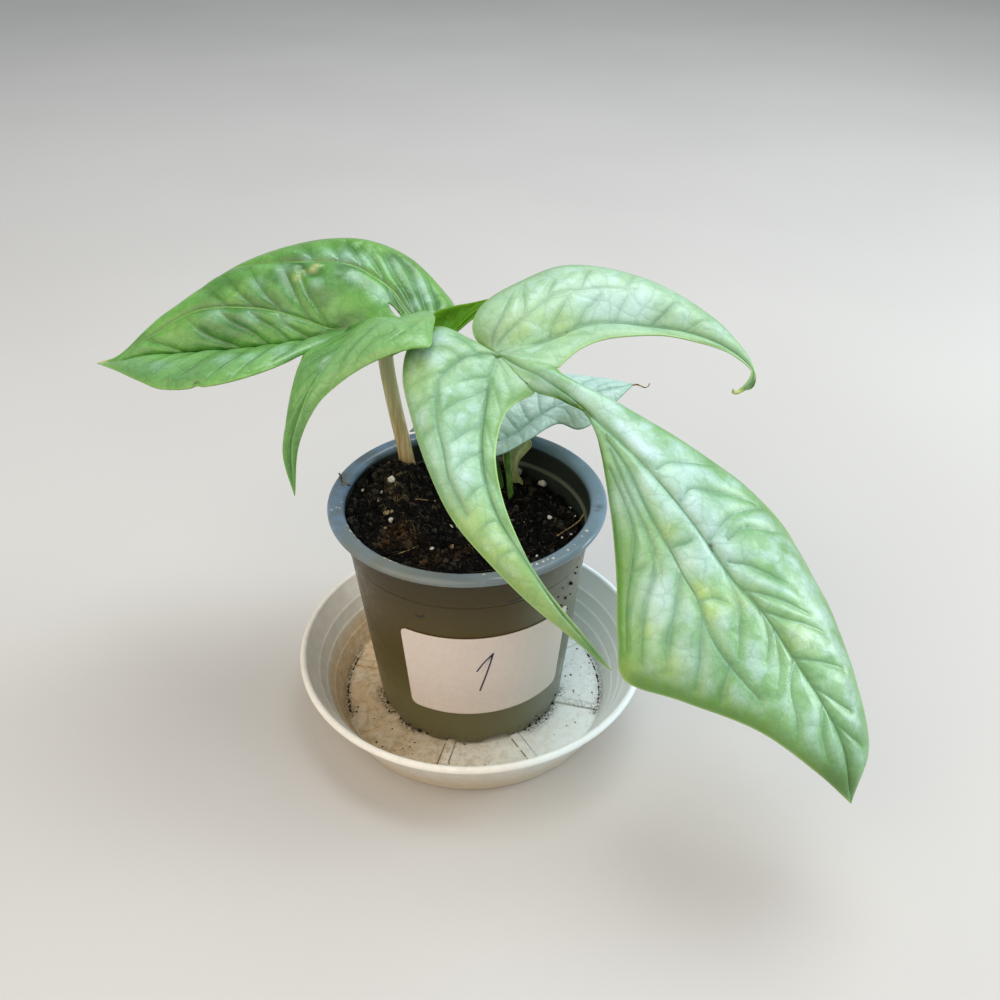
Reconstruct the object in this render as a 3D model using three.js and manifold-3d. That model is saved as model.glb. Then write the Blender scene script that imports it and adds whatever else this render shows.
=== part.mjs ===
// A young aroid with three lobed leaves in a nursery pot, standing on a saucer.
// Millimetres, +Z up. The origin is the middle of the saucer's underside, and
// +X and +Y are chosen so that the plant leans and reaches towards -Y.

import * as THREE from 'three';
import { mergeVertices } from 'three/addons/utils/BufferGeometryUtils.js';
import Module from 'manifold-3d';

const wasm = await Module();
wasm.setup();

// Clearance between neighbours that rest on each other or are cut by each other
const GAP = 0.3;

// Saucer, 160 mm across
const SAUCER_RADIUS = 80;
const SAUCER_HEIGHT = 33;
const SAUCER_BASE_RADIUS = 62;
const SAUCER_FLOOR_RADIUS = 61.5;
const SAUCER_FLOOR = 2.2;
const SAUCER_STEPS = [12, 18, 24];
const SAUCER_STEP_DEPTH = 0.8;
const SAUCER_STEP_BEVEL = 0.3;
const SAUCER_WALL = 3;
const SAUCER_SIDES = 48;
// The lip's section, outwards and upwards from the saucer's top outer corner
const SAUCER_LIP = [
  [-3.4, -4], [-1.4, -3.4], [0, -2], [-0.3, -0.6], [-1.4, 0], [-2.6, -0.4], [-3.4, -1.8],
];
// Bevels of the foot, outside, and of the floor's corner, inside
const SAUCER_FOOT_BEVEL = [[-1.5, 0], [1, 1]];
const SAUCER_CORNER_BEVEL = [[0.6, 1], [-0.8, 0]];
const RIB_COUNT = 8;
const RIB_FIRST_ANGLE = -16.5;
const RIB_WIDTH = 4;
const RIB_HEIGHT = 1;
const RIB_REACH = [16, 60];

// Nursery pot, 120 mm across its rolled rim and about 107 mm tall
const POT_CENTRE = [-1, 5];
const POT_BASE = SAUCER_FLOOR + RIB_HEIGHT + GAP;
const POT_TOP = 110;
const POT_RIM_RADIUS = 60;
const POT_FOOT_RADIUS = 43.4;
const POT_SHOULDER_RADIUS = 52.3;
const POT_STEP = 91;
const POT_STEP_DEPTH = 0.4;
const POT_STEP_BEVEL = 0.8;
const POT_LEDGE = 97;
const POT_LEDGE_RADIUS = 52.2;
const POT_LEDGE_BEVEL = 0.5;
const POT_WALL = 1.3;
const POT_FOOT_WIDTH = 2;
const POT_FOOT_BEVEL = 0.5;
const POT_CORNER_BEVEL = 1.2;
const POT_FLOOR_LIFT = 3.4;
const POT_SIDES = 48;
// The rolled rim's section, outwards and upwards from the pot's top outer corner,
// from the shoulder under it to the mouth
const POT_RIM = [
  [-5.9, -4.6], [-2.2, -4.1], [-0.6, -3.3], [0, -2], [-0.7, -0.7], [-2.2, 0], [-5.4, -0.2],
  [-7, -1.4], [-7.3, -4],
];
const FOOT_NOTCHES = [
  { count: 5, first: -76, width: 13, height: 3 },
  { count: 5, first: -103, width: 5, height: 2.4 },
  { count: 5, first: -122, width: 5, height: 2.4 },
];
const NOTCH_DEPTH = 8;
const DRAIN_COUNT = 8;
const DRAIN_RADIUS = 3.5;
const DRAIN_CIRCLE = 28;

// Soil: filled to about 15 mm under the rim, heaped at the left stem
const SOIL_LEVEL = 95;
const SOIL_SLOPE = -0.085;
const SOIL_RADIUS = 49.2;
const SOIL_BEVEL = 2.4;
const SOIL_RINGS = 10;
const SOIL_SECTORS = 36;
const SOIL_HEAPS = [
  { at: [-33, 27], rise: 7, spread: 9 },
  { at: [-22, 36], rise: 3, spread: 6 },
  { at: [-28, -8], rise: 3, spread: 7 },
  { at: [6, -20], rise: -3, spread: 10 },
  { at: [17, 30], rise: 2, spread: 7 },
];
const CLODS = [
  { at: [-38, 28], radius: 5.5 },
  { at: [-29, 27], radius: 6.5 },
  { at: [-33, 20], radius: 5 },
  { at: [-23, 31], radius: 4.5 },
  { at: [-34, 35], radius: 4 },
  { at: [-27, -4], radius: 5 },
  { at: [-18, -12], radius: 3.5 },
  { at: [27, 18], radius: 4 },
];
const CLOD_FLATNESS = 0.7;
const PERLITE_COUNT = 10;
const PERLITE_RADIUS = 1.4;
const PERLITE_FLATNESS = 0.9;
const PERLITE_REACH = 44;
const SEED = 7;

// Paper label stuck to the front of the pot
const LABEL_SIZE = [75, 48];
const LABEL_BOTTOM = 25;
const LABEL_MIDDLE_ANGLE = -80;
const LABEL_THICKNESS = 0.4;
const LABEL_CORNER = 3;
const LABEL_COLUMNS = 20;
const LABEL_ROWS = 3;

// Leaf blades and the stalks that carry them
const BLADE_THICKNESS = 0.8;
const BLADE_STEPS = 2;
const BLADE_COLUMNS = 4;
const CROWN_FADE = 0.3;
const STALK_SIDES = 10;

// Each half blade is ruled from its vein out to its margin, point by point from
// the base to the tip. Left and right are as seen from above, looking outwards
// along the vein. The crown lifts the middle of the half.
const LEFT_LEAF = {
  far: {
    side: 'right',
    crown: [0, -5, 6],
    vein: [
      [-20, 38, 176], [-24, 38, 175], [-28, 38, 174], [-35, 38, 173], [-45, 38, 173],
      [-57, 38, 171], [-70, 38, 167], [-86, 38, 165], [-103, 39, 163], [-120, 39, 162],
      [-135, 39, 161], [-148, 39, 158], [-158, 40, 158],
    ],
    margin: [
      [-20, 38, 176], [-12, 46, 174], [-5, 57, 173], [-10, 66, 178], [-24, 76, 189],
      [-42, 80, 196], [-61, 80, 197], [-81, 77, 194], [-100, 73, 188], [-120, 64, 178],
      [-137, 54, 168], [-149, 44, 160], [-158, 40, 158],
    ],
  },
  near: {
    side: 'left',
    crown: [0, -1, 4],
    fade: true,
    margin: [
      [-67, 24, 170], [-71, 18, 169], [-78, 10, 169], [-92, 4, 167], [-105, 3, 165],
      [-121, 7, 162], [-133, 15, 162], [-148, 30, 160], [-158, 40, 158],
    ],
  },
  fingerVein: [
    [-45, 38, 173], [-50, 24, 173], [-54, 11, 172], [-59, 2, 168], [-64, -4, 161],
    [-70, -9, 145], [-71, -13, 123],
  ],
  flap: {
    side: 'left',
    crown: [0, -1, 8],
    margin: [
      [-20, 38, 176], [-13, 25, 184], [-13, 10, 185], [-14, -3, 184], [-21, -5, 184],
      [-29, -6, 182], [-39, -5, 177], [-50, -4, 169], [-60, -5, 159], [-68, -8, 143],
      [-71, -13, 123],
    ],
  },
  finger: {
    side: 'right',
    crown: [-1, -1, 2],
    fade: true,
    margin: [
      [-67, 24, 170], [-67, 19, 169], [-68, 10, 168], [-70, 2, 162], [-72, -5, 153],
      [-74, -10, 140], [-71, -13, 123],
    ],
  },
  hole: { at: [-30, 43, 178], radius: 2.8, squeeze: 0.8, lean: 35 },
};

const RIGHT_LEAF = {
  middleVein: [
    [12, 8, 175], [20, 3, 172], [30, -5, 170], [45, -16, 162], [64, -35, 151], [81, -52, 136],
    [95, -67, 120], [105, -80, 113], [114, -90, 102], [123, -101, 91], [131, -112, 77],
    [134, -122, 59],
  ],
  nearVein: [
    [12, 8, 175], [11, 4, 172], [9, -2, 169], [7, -10, 163], [5, -22, 157], [5, -33, 150],
    [7, -44, 143], [12, -54, 135], [20, -65, 127], [29, -75, 117], [39, -82, 106],
    [50, -89, 95],
  ],
  farVein: [
    [12, 8, 175], [16, 10, 174], [23, 14, 174], [35, 20, 175], [47, 25, 178], [60, 28, 178],
    [75, 28, 176], [89, 26, 175], [102, 22, 172], [111, 18, 167], [116, 14, 162],
    [117, 12, 158], [111, 10, 155],
  ],
  middleInner: {
    side: 'right',
    crown: [-2, -4, 6],
    fade: true,
    margin: [
      [28, -6, 164], [32, -8, 164], [38, -11, 163], [48, -20, 158], [53, -42, 135],
      [54, -62, 117], [53, -80, 102], [55, -91, 92], [74, -101, 91], [99, -111, 86],
      [120, -118, 72], [134, -122, 59],
    ],
  },
  middleOuter: {
    side: 'left',
    crown: [1, -3, 5],
    fade: true,
    margin: [
      [36, 0, 172], [37, -3, 171], [44, -6, 168], [60, -11, 161], [85, -17, 147],
      [106, -24, 134], [122, -34, 121], [130, -47, 110], [138, -65, 97], [142, -83, 86],
      [144, -104, 69], [134, -122, 59],
    ],
  },
  nearOuter: {
    side: 'right',
    crown: [-3, -3, 5],
    margin: [
      [12, 8, 175], [0, 17, 178], [-11, 19, 182], [-22, 10, 179], [-25, -3, 172],
      [-22, -17, 162], [-16, -34, 150], [-7, -50, 137], [6, -64, 127], [21, -74, 115],
      [36, -82, 105], [50, -89, 95],
    ],
  },
  nearInner: {
    side: 'left',
    crown: [1, -1, 2],
    fade: true,
    margin: [
      [28, -6, 164], [23, -8, 164], [18, -12, 163], [14, -17, 161], [11, -25, 156],
      [10, -35, 151], [12, -45, 142], [16, -55, 134], [23, -66, 123], [31, -76, 116],
      [41, -82, 105], [50, -89, 95],
    ],
  },
  farOuter: {
    side: 'left',
    crown: [-1, -2, 6],
    margin: [
      [12, 8, 175], [4, 16, 177], [3, 27, 181], [9, 38, 185], [23, 50, 188], [41, 57, 192],
      [61, 56, 191], [83, 49, 186], [103, 37, 177], [113, 24, 170], [118, 15, 163],
      [118, 12, 157], [111, 10, 155],
    ],
  },
  farInner: {
    side: 'right',
    crown: [0, -1, 2],
    fade: true,
    margin: [
      [36, 0, 172], [36, 2, 173], [39, 4, 174], [46, 10, 176], [55, 15, 177], [67, 18, 177],
      [81, 20, 176], [94, 20, 173], [105, 18, 170], [111, 16, 167], [115, 14, 163],
      [115, 12, 159], [111, 10, 155],
    ],
  },
};

const BACK_LEAF = {
  vein: [[17, 33, 118], [25, 38, 122], [33, 43, 127], [44, 48, 131], [61, 54, 133], [77, 58, 134]],
  near: {
    side: 'right',
    crown: [0, -1, 3],
    margin: [
      [-6, 18, 120], [12, 20, 120], [25, 28, 122], [40, 40, 124], [53, 38, 123], [77, 58, 134],
    ],
  },
  far: {
    side: 'left',
    crown: [0, -1, 4],
    margin: [
      [-27, 46, 118], [-13, 62, 125], [15, 74, 129], [40, 76, 131], [63, 69, 132], [77, 58, 134],
    ],
  },
};

const YOUNG_LEAF = {
  vein: [[-17, 32, 170], [-11, 34, 171], [-4, 38, 173], [3, 44, 177], [12, 50, 180], [23, 57, 180]],
  upper: {
    side: 'left',
    crown: [0, 2, -2],
    margin: [
      [-17, 32, 170], [-14, 40, 178], [-6, 46, 179], [3, 50, 179], [15, 54, 180], [23, 57, 180],
    ],
  },
  lower: {
    side: 'right',
    crown: [0, 2, -2],
    margin: [
      [-17, 32, 170], [-11, 26, 171], [-4, 32, 174], [3, 38, 177], [13, 46, 179], [23, 57, 180],
    ],
  },
};

const SHEATH = {
  vein: [
    [19, 36, 84], [20, 37, 93], [20, 38, 99], [21, 39, 105], [22, 40, 109], [25, 42, 112],
    [28, 44, 114],
  ],
  right: {
    side: 'right',
    crown: [0, 1, 0],
    margin: [
      [22, 37, 84], [25, 38, 93], [23, 39, 98], [23, 40, 104], [26, 41, 108], [29, 43, 111],
      [28, 44, 114],
    ],
  },
  left: {
    side: 'left',
    crown: [0, 1, 0],
    margin: [
      [16, 37, 84], [17, 38, 93], [17, 39, 98], [16, 40, 104], [16, 41, 109], [21, 43, 113],
      [28, 44, 114],
    ],
  },
};

// Stalk centre lines, from inside the soil up to the blade
const LEFT_STALK = {
  radius: 3.3,
  path: [
    [-27, 40, 70], [-28, 40, 101], [-33, 40, 138], [-35, 40, 158], [-34, 40, 166],
    [-29, 40, 171], [-20, 38, 175.5],
  ],
};
const RIGHT_STALK = {
  radius: 2,
  path: [
    [15, 34, 70], [14, 33, 92], [12, 32, 106], [9, 31, 119], [9, 22, 145], [11, 11, 167], [12, 8, 175],
  ],
};
const BACK_STALK = {
  radius: 1.4,
  path: [[20, 23, 70], [19, 26, 91], [17.5, 31, 108], [17, 33, 118]],
};
const YOUNG_STALK = {
  radius: 1.2,
  path: [[-34, 40, 160], [-29, 36, 164], [-22, 33, 168], [-17, 32, 170]],
};

const vector = ([x, y, z]) => new THREE.Vector3(x, y, z);
const radians = THREE.MathUtils.degToRad;

// Seeded draws, the same on every build
function makeRandom(seed) {
  let state = seed;
  return () => {
    state = (state * 16807) % 2147483647;
    return state / 2147483647;
  };
}
const random = makeRandom(SEED);

function finish(color, roughness) {
  return new THREE.MeshStandardMaterial({ color, roughness, metalness: 0, side: THREE.DoubleSide });
}

const FINISHES = {
  saucer: finish('#e6e2d8', 0.4),
  pot: finish('#66664c', 0.55),
  label: finish('#d9cdcb', 0.7),
  soil: finish('#1d1815', 0.95),
  leftStalk: finish('#a5875a', 0.6),
  greenStalk: finish('#3f6b23', 0.5),
  leftLeaf: finish('#5a9646', 0.35),
  rightLeaf: finish('#a5cda5', 0.45),
  backLeaf: finish('#a0c3af', 0.5),
  youngLeaf: finish('#567d14', 0.4),
  sheath: finish('#c3d08c', 0.6),
};

// Solids and meshes

function indexed(geometry) {
  const bare = geometry.clone();
  bare.deleteAttribute('normal');
  bare.deleteAttribute('uv');
  return mergeVertices(bare, 1e-4);
}

function toSolid(geometry) {
  const merged = indexed(geometry);
  const solid = new wasm.Manifold(new wasm.Mesh({
    numProp: 3,
    vertProperties: new Float32Array(merged.attributes.position.array),
    triVerts: new Uint32Array(merged.index.array),
  }));
  return solid;
}

function toGeometry(solid) {
  const mesh = solid.getMesh();
  const geometry = new THREE.BufferGeometry();
  geometry.setAttribute('position', new THREE.BufferAttribute(mesh.vertProperties, 3));
  geometry.setIndex(new THREE.BufferAttribute(mesh.triVerts, 1));
  geometry.computeVertexNormals();
  return geometry;
}

// The largest of the bodies that a cut leaves
function largest(solid) {
  const bodies = solid.decompose();
  return bodies.reduce((best, body) => (body.volume() > best.volume() ? body : best));
}

function named(name, geometry, material) {
  const mesh = new THREE.Mesh(geometry, material);
  mesh.name = name;
  return mesh;
}

// A sheet of given thickness over a list of grids that share their edges.
// Each face point moves half the thickness along its own normal, both faces are
// split into triangles alike, and a wall follows the free edge.
function sheetGeometry(grids, thickness) {
  const places = new Map();
  const points = [];
  const indexOf = (point) => {
    const key = point.toArray().map((value) => Math.round(value * 1000)).join(' ');
    if (!places.has(key)) {
      places.set(key, points.length);
      points.push(point);
    }
    return places.get(key);
  };
  const triangles = [];
  const addTriangle = (a, b, c) => {
    if (a !== b && b !== c && c !== a) triangles.push([a, b, c]);
  };
  for (const { rows, side } of grids) {
    const table = rows.map((row) => row.map(indexOf));
    for (let i = 0; i + 1 < table.length; i += 1) {
      for (let j = 0; j + 1 < table[i].length; j += 1) {
        const [a, b] = [table[i][j], table[i + 1][j]];
        const [d, c] = [table[i][j + 1], table[i + 1][j + 1]];
        if (side === 'left') {
          addTriangle(a, b, c);
          addTriangle(a, c, d);
        } else {
          addTriangle(a, c, b);
          addTriangle(a, d, c);
        }
      }
    }
  }
  const normals = points.map(() => new THREE.Vector3());
  const edges = new Set();
  for (const [a, b, c] of triangles) {
    const along = points[b].clone().sub(points[a]);
    const across = points[c].clone().sub(points[a]);
    const normal = along.cross(across);
    [a, b, c].forEach((index) => normals[index].add(normal));
    [[a, b], [b, c], [c, a]].forEach(([from, to]) => edges.add(`${from} ${to}`));
  }
  normals.forEach((normal) => normal.normalize());
  const half = thickness / 2;
  const upper = points.map((point, i) => point.clone().addScaledVector(normals[i], half));
  const lower = points.map((point, i) => point.clone().addScaledVector(normals[i], -half));
  const count = points.length;
  const faces = [];
  for (const [a, b, c] of triangles) {
    faces.push(a, b, c, count + a, count + c, count + b);
  }
  for (const edge of edges) {
    const [from, to] = edge.split(' ').map(Number);
    if (!edges.has(`${to} ${from}`)) {
      faces.push(to, from, count + from, to, count + from, count + to);
    }
  }
  const geometry = new THREE.BufferGeometry();
  geometry.setFromPoints([...upper, ...lower]);
  geometry.setIndex(faces);
  geometry.computeVertexNormals();
  return geometry;
}

function smoothLine(points) {
  const curve = new THREE.CatmullRomCurve3(points.map(vector), false, 'catmullrom', 0.5);
  return curve.getPoints(BLADE_STEPS * (points.length - 1));
}

// Half a blade: straight rulings from vein to margin, lifted by the crown as a
// parabola across the ruling, in proportion to the local width. Where the first
// ruling is shared with the neighbouring half, the crown fades out to it.
function halfBlade(veinLine, { side, crown, margin, fade = false }) {
  const marginLine = smoothLine(margin);
  const widths = veinLine.map((point, i) => point.distanceTo(marginLine[i]));
  const widest = Math.max(...widths);
  const last = veinLine.length - 1;
  const lift = vector(crown);
  const rows = veinLine.map((point, i) => {
    const start = fade ? THREE.MathUtils.smoothstep(i / last, 0, CROWN_FADE) : 1;
    const share = (widths[i] / widest) * start;
    const row = [];
    for (let j = 0; j <= BLADE_COLUMNS; j += 1) {
      const across = j / BLADE_COLUMNS;
      const ruled = point.clone().lerp(marginLine[i], across);
      row.push(ruled.addScaledVector(lift, 4 * across * (1 - across) * share));
    }
    return row;
  });
  return { rows, side };
}

function leftLeafGrids() {
  const vein = smoothLine(LEFT_LEAF.far.vein);
  const fork = vein.findIndex((point) => point.distanceTo(vector(LEFT_LEAF.fingerVein[0])) < 0.01);
  const fingerLine = smoothLine(LEFT_LEAF.fingerVein);
  return [
    halfBlade(vein, LEFT_LEAF.far),
    halfBlade(vein.slice(fork), LEFT_LEAF.near),
    halfBlade([...vein.slice(0, fork), ...fingerLine], LEFT_LEAF.flap),
    halfBlade(fingerLine, LEFT_LEAF.finger),
  ];
}

function rightLeafGrids() {
  const middle = smoothLine(RIGHT_LEAF.middleVein);
  const near = smoothLine(RIGHT_LEAF.nearVein);
  const far = smoothLine(RIGHT_LEAF.farVein);
  return [
    halfBlade(middle, RIGHT_LEAF.middleInner),
    halfBlade(middle, RIGHT_LEAF.middleOuter),
    halfBlade(near, RIGHT_LEAF.nearOuter),
    halfBlade(near, RIGHT_LEAF.nearInner),
    halfBlade(far, RIGHT_LEAF.farOuter),
    halfBlade(far, RIGHT_LEAF.farInner),
  ];
}

function simpleLeafGrids(leaf, halves) {
  const vein = smoothLine(leaf.vein);
  return halves.map((half) => halfBlade(vein, leaf[half]));
}

// A round stalk along a curve
function stalkGeometry({ radius, path }, extra = 0) {
  const curve = new THREE.CatmullRomCurve3(path.map(vector));
  const section = new THREE.Shape();
  section.absarc(0, 0, radius + extra, 0, Math.PI * 2);
  const steps = Math.round(curve.getLength() / (4 * radius)) + 3;
  return new THREE.ExtrudeGeometry(section, {
    steps,
    curveSegments: STALK_SIDES / 2,
    bevelEnabled: false,
    extrudePath: curve,
  });
}

// A stalk ends just under its blade, whose clearance cuts it, and starts at the
// clearance of the stalk that it grows from
function cutStalk({ stalk, grids, growsFrom }) {
  const blade = toSolid(sheetGeometry(grids, BLADE_THICKNESS));
  const thick = toSolid(sheetGeometry(grids, BLADE_THICKNESS + 2 * GAP));
  let clear = thick.add(blade.add(blade.translate(0, 0, -GAP)));
  if (growsFrom) clear = clear.add(toSolid(stalkGeometry(growsFrom, GAP)));
  return largest(toSolid(stalkGeometry(stalk)).subtract(clear));
}

// Section points given from a corner, moved to where the corner is
function offset(section, radius, z) {
  return section.map(([outwards, upwards]) => [radius + outwards, z + upwards]);
}

function saucerGeometry() {
  const wallRadius = (z) => {
    const top = SAUCER_RADIUS - SAUCER_WALL;
    const share = (z - SAUCER_FLOOR) / (SAUCER_HEIGHT - SAUCER_FLOOR);
    return SAUCER_FLOOR_RADIUS + (top - SAUCER_FLOOR_RADIUS) * share;
  };
  const steps = SAUCER_STEPS.flatMap((z) => [
    [wallRadius(z), z],
    [wallRadius(z) - SAUCER_STEP_DEPTH, z - SAUCER_STEP_BEVEL],
  ]);
  const profile = [
    [0, 0],
    ...offset(SAUCER_FOOT_BEVEL, SAUCER_BASE_RADIUS, 0),
    ...offset(SAUCER_LIP, SAUCER_RADIUS, SAUCER_HEIGHT),
    ...steps.reverse(),
    ...offset(SAUCER_CORNER_BEVEL, SAUCER_FLOOR_RADIUS, SAUCER_FLOOR),
    [0, SAUCER_FLOOR],
  ].map(([radius, z]) => new THREE.Vector2(radius, z));
  const bowl = new THREE.LatheGeometry(profile, SAUCER_SIDES);
  bowl.rotateX(Math.PI / 2);
  let solid = toSolid(bowl);
  const [inner, outer] = RIB_REACH;
  for (let i = 0; i < RIB_COUNT; i += 1) {
    const rib = new THREE.BoxGeometry(outer - inner, RIB_WIDTH, 2 * RIB_HEIGHT);
    rib.translate((inner + outer) / 2, 0, SAUCER_FLOOR);
    rib.rotateZ(radians(RIB_FIRST_ANGLE + (i * 360) / RIB_COUNT));
    solid = solid.add(toSolid(rib));
  }
  return toGeometry(solid);
}

// The body's outer radius at a height, up to the shoulder under the rim
function potRadius(z) {
  const share = (z - POT_BASE) / (POT_STEP - POT_BASE);
  return POT_FOOT_RADIUS + (POT_SHOULDER_RADIUS - POT_FOOT_RADIUS) * share;
}

function potGeometry() {
  const floor = POT_BASE + POT_FLOOR_LIFT;
  const floorTop = floor + POT_WALL;
  const footInner = POT_FOOT_RADIUS - POT_FOOT_WIDTH;
  const cornerRadius = potRadius(floorTop) - POT_WALL;
  const profile = [
    [0, floor],
    [footInner, floor],
    [footInner + POT_FOOT_BEVEL, POT_BASE],
    [POT_FOOT_RADIUS, POT_BASE],
    [POT_SHOULDER_RADIUS - POT_STEP_DEPTH, POT_STEP - POT_STEP_BEVEL],
    [POT_SHOULDER_RADIUS + POT_STEP_DEPTH, POT_STEP],
    ...offset(POT_RIM, POT_RIM_RADIUS, POT_TOP),
    [POT_LEDGE_RADIUS, POT_LEDGE + POT_LEDGE_BEVEL],
    [POT_SHOULDER_RADIUS - POT_WALL, POT_LEDGE - POT_LEDGE_BEVEL],
    [cornerRadius, floorTop + POT_CORNER_BEVEL],
    [cornerRadius - POT_CORNER_BEVEL, floorTop],
    [0, floorTop],
  ].map(([radius, z]) => new THREE.Vector2(radius, z));
  const body = new THREE.LatheGeometry(profile, POT_SIDES);
  body.rotateX(Math.PI / 2);
  let solid = toSolid(body);
  for (const { count, first, width, height } of FOOT_NOTCHES) {
    for (let i = 0; i < count; i += 1) {
      const notch = new THREE.CylinderGeometry(width / 2, width / 2, NOTCH_DEPTH, 12);
      notch.rotateZ(Math.PI / 2);
      notch.scale(1, 1, (2 * height) / width);
      notch.translate(POT_FOOT_RADIUS, 0, POT_BASE);
      notch.rotateZ(radians(first + (i * 360) / count));
      solid = solid.subtract(toSolid(notch));
    }
  }
  for (let i = 0; i < DRAIN_COUNT; i += 1) {
    const drain = new THREE.CylinderGeometry(DRAIN_RADIUS, DRAIN_RADIUS, 4 * POT_WALL, 10);
    drain.rotateX(Math.PI / 2);
    drain.translate(DRAIN_CIRCLE, 0, floor);
    drain.rotateZ(radians((i * 360) / DRAIN_COUNT));
    solid = solid.subtract(toSolid(drain));
  }
  return toGeometry(solid).translate(...POT_CENTRE, 0);
}

// Height of the soil: a gentle slope, the heaps and a fine unevenness
function soilHeight(x, y) {
  let height = SOIL_LEVEL + SOIL_SLOPE * x;
  for (const { at, rise, spread } of SOIL_HEAPS) {
    const distance = Math.hypot(x - at[0], y - at[1]);
    height += rise * Math.exp(-0.5 * (distance / spread) ** 2);
  }
  height += 0.9 * Math.sin(0.43 * x + 1.3) * Math.cos(0.37 * y);
  height += 0.5 * Math.sin(0.9 * x - 0.7 * y);
  return height;
}

// A lump with uneven radii, sunk by half into the soil
function lumpSolid(x, y, radius, flatness) {
  const lump = new THREE.IcosahedronGeometry(radius, 0);
  lump.scale(0.8 + 0.4 * random(), 0.8 + 0.4 * random(), flatness);
  lump.rotateZ(Math.PI * random());
  lump.rotateX(0.5 * random());
  lump.translate(x, y, soilHeight(x, y) + 0.2 * radius);
  return toSolid(lump);
}

function soilBody() {
  const top = (radius, angle) => {
    const x = POT_CENTRE[0] + radius * Math.cos(angle);
    const y = POT_CENTRE[1] + radius * Math.sin(angle);
    return new THREE.Vector3(x, y, soilHeight(x, y));
  };
  const floor = POT_BASE + POT_FLOOR_LIFT + POT_WALL + GAP;
  const footRadius = potRadius(floor) - POT_WALL - 4 * GAP;
  const corner = [[footRadius - SOIL_BEVEL, floor], [footRadius, floor + SOIL_BEVEL]];
  const rows = [];
  for (let i = 0; i < SOIL_SECTORS; i += 1) {
    const angle = (i * 2 * Math.PI) / SOIL_SECTORS;
    const row = [new THREE.Vector3(...POT_CENTRE, floor)];
    for (const [radius, z] of corner) {
      const x = POT_CENTRE[0] + radius * Math.cos(angle);
      const y = POT_CENTRE[1] + radius * Math.sin(angle);
      row.push(new THREE.Vector3(x, y, z));
    }
    for (let ring = SOIL_RINGS; ring >= 0; ring -= 1) {
      row.push(top((SOIL_RADIUS * ring) / SOIL_RINGS, angle));
    }
    rows.push(row);
  }
  const positions = [];
  for (let i = 0; i < SOIL_SECTORS; i += 1) {
    const next = rows[(i + 1) % SOIL_SECTORS];
    for (let j = 0; j + 1 < rows[i].length; j += 1) {
      const corners = [rows[i][j], next[j], next[j + 1], rows[i][j + 1]];
      if (j > 0) positions.push(corners[0], corners[1], corners[2]);
      if (j + 2 < rows[i].length) positions.push(corners[0], corners[2], corners[3]);
    }
  }
  const geometry = new THREE.BufferGeometry().setFromPoints(positions);
  return toSolid(geometry);
}

function soilGeometry(holes) {
  let solid = soilBody();
  for (const { at, radius } of CLODS) {
    solid = solid.add(lumpSolid(...at, radius, CLOD_FLATNESS));
  }
  for (let i = 0; i < PERLITE_COUNT; i += 1) {
    const angle = 2 * Math.PI * random();
    const distance = PERLITE_REACH * Math.sqrt(random());
    const x = POT_CENTRE[0] + distance * Math.cos(angle);
    const y = POT_CENTRE[1] + distance * Math.sin(angle);
    const radius = PERLITE_RADIUS * (0.7 + 0.6 * random());
    solid = solid.add(lumpSolid(x, y, radius, PERLITE_FLATNESS));
  }
  for (const hole of holes) {
    solid = solid.subtract(hole);
  }
  return toGeometry(largest(solid));
}

// The label follows the pot's cone, with rounded corners
function labelGeometry() {
  const [width, height] = LABEL_SIZE;
  const columns = [];
  for (let i = 0; i <= LABEL_COLUMNS; i += 1) {
    const share = 0.5 - 0.5 * Math.cos((Math.PI * i) / LABEL_COLUMNS);
    columns.push(width * share);
  }
  const place = (across, up) => {
    const z = LABEL_BOTTOM + up;
    const radius = potRadius(z) + GAP + LABEL_THICKNESS / 2;
    const middle = potRadius(LABEL_BOTTOM + height / 2);
    const angle = radians(LABEL_MIDDLE_ANGLE) + (across - width / 2) / middle;
    const x = POT_CENTRE[0] + radius * Math.cos(angle);
    const y = POT_CENTRE[1] + radius * Math.sin(angle);
    return new THREE.Vector3(x, y, z);
  };
  const rows = columns.map((across) => {
    const edge = Math.min(across, width - across);
    const inset = edge >= LABEL_CORNER
      ? 0
      : LABEL_CORNER - Math.sqrt(LABEL_CORNER ** 2 - (LABEL_CORNER - edge) ** 2);
    const row = [];
    for (let i = 0; i <= LABEL_ROWS; i += 1) {
      row.push(place(across, inset + ((height - 2 * inset) * i) / LABEL_ROWS));
    }
    return row;
  });
  return sheetGeometry([{ rows, side: 'left' }], LABEL_THICKNESS);
}

// The whole plant, from the table up

const leftGrids = leftLeafGrids();
const rightGrids = rightLeafGrids();
const backGrids = simpleLeafGrids(BACK_LEAF, ['near', 'far']);
const youngGrids = simpleLeafGrids(YOUNG_LEAF, ['upper', 'lower']);
const sheathGrids = simpleLeafGrids(SHEATH, ['right', 'left']);

function leftLeafGeometry() {
  const { at, radius, squeeze, lean } = LEFT_LEAF.hole;
  const punch = new THREE.CylinderGeometry(radius, radius, 4 * radius, 10);
  punch.rotateX(Math.PI / 2);
  punch.scale(squeeze, 1, 1);
  punch.rotateX(radians(lean));
  punch.translate(...at);
  return toGeometry(toSolid(sheetGeometry(leftGrids, BLADE_THICKNESS)).subtract(toSolid(punch)));
}

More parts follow.
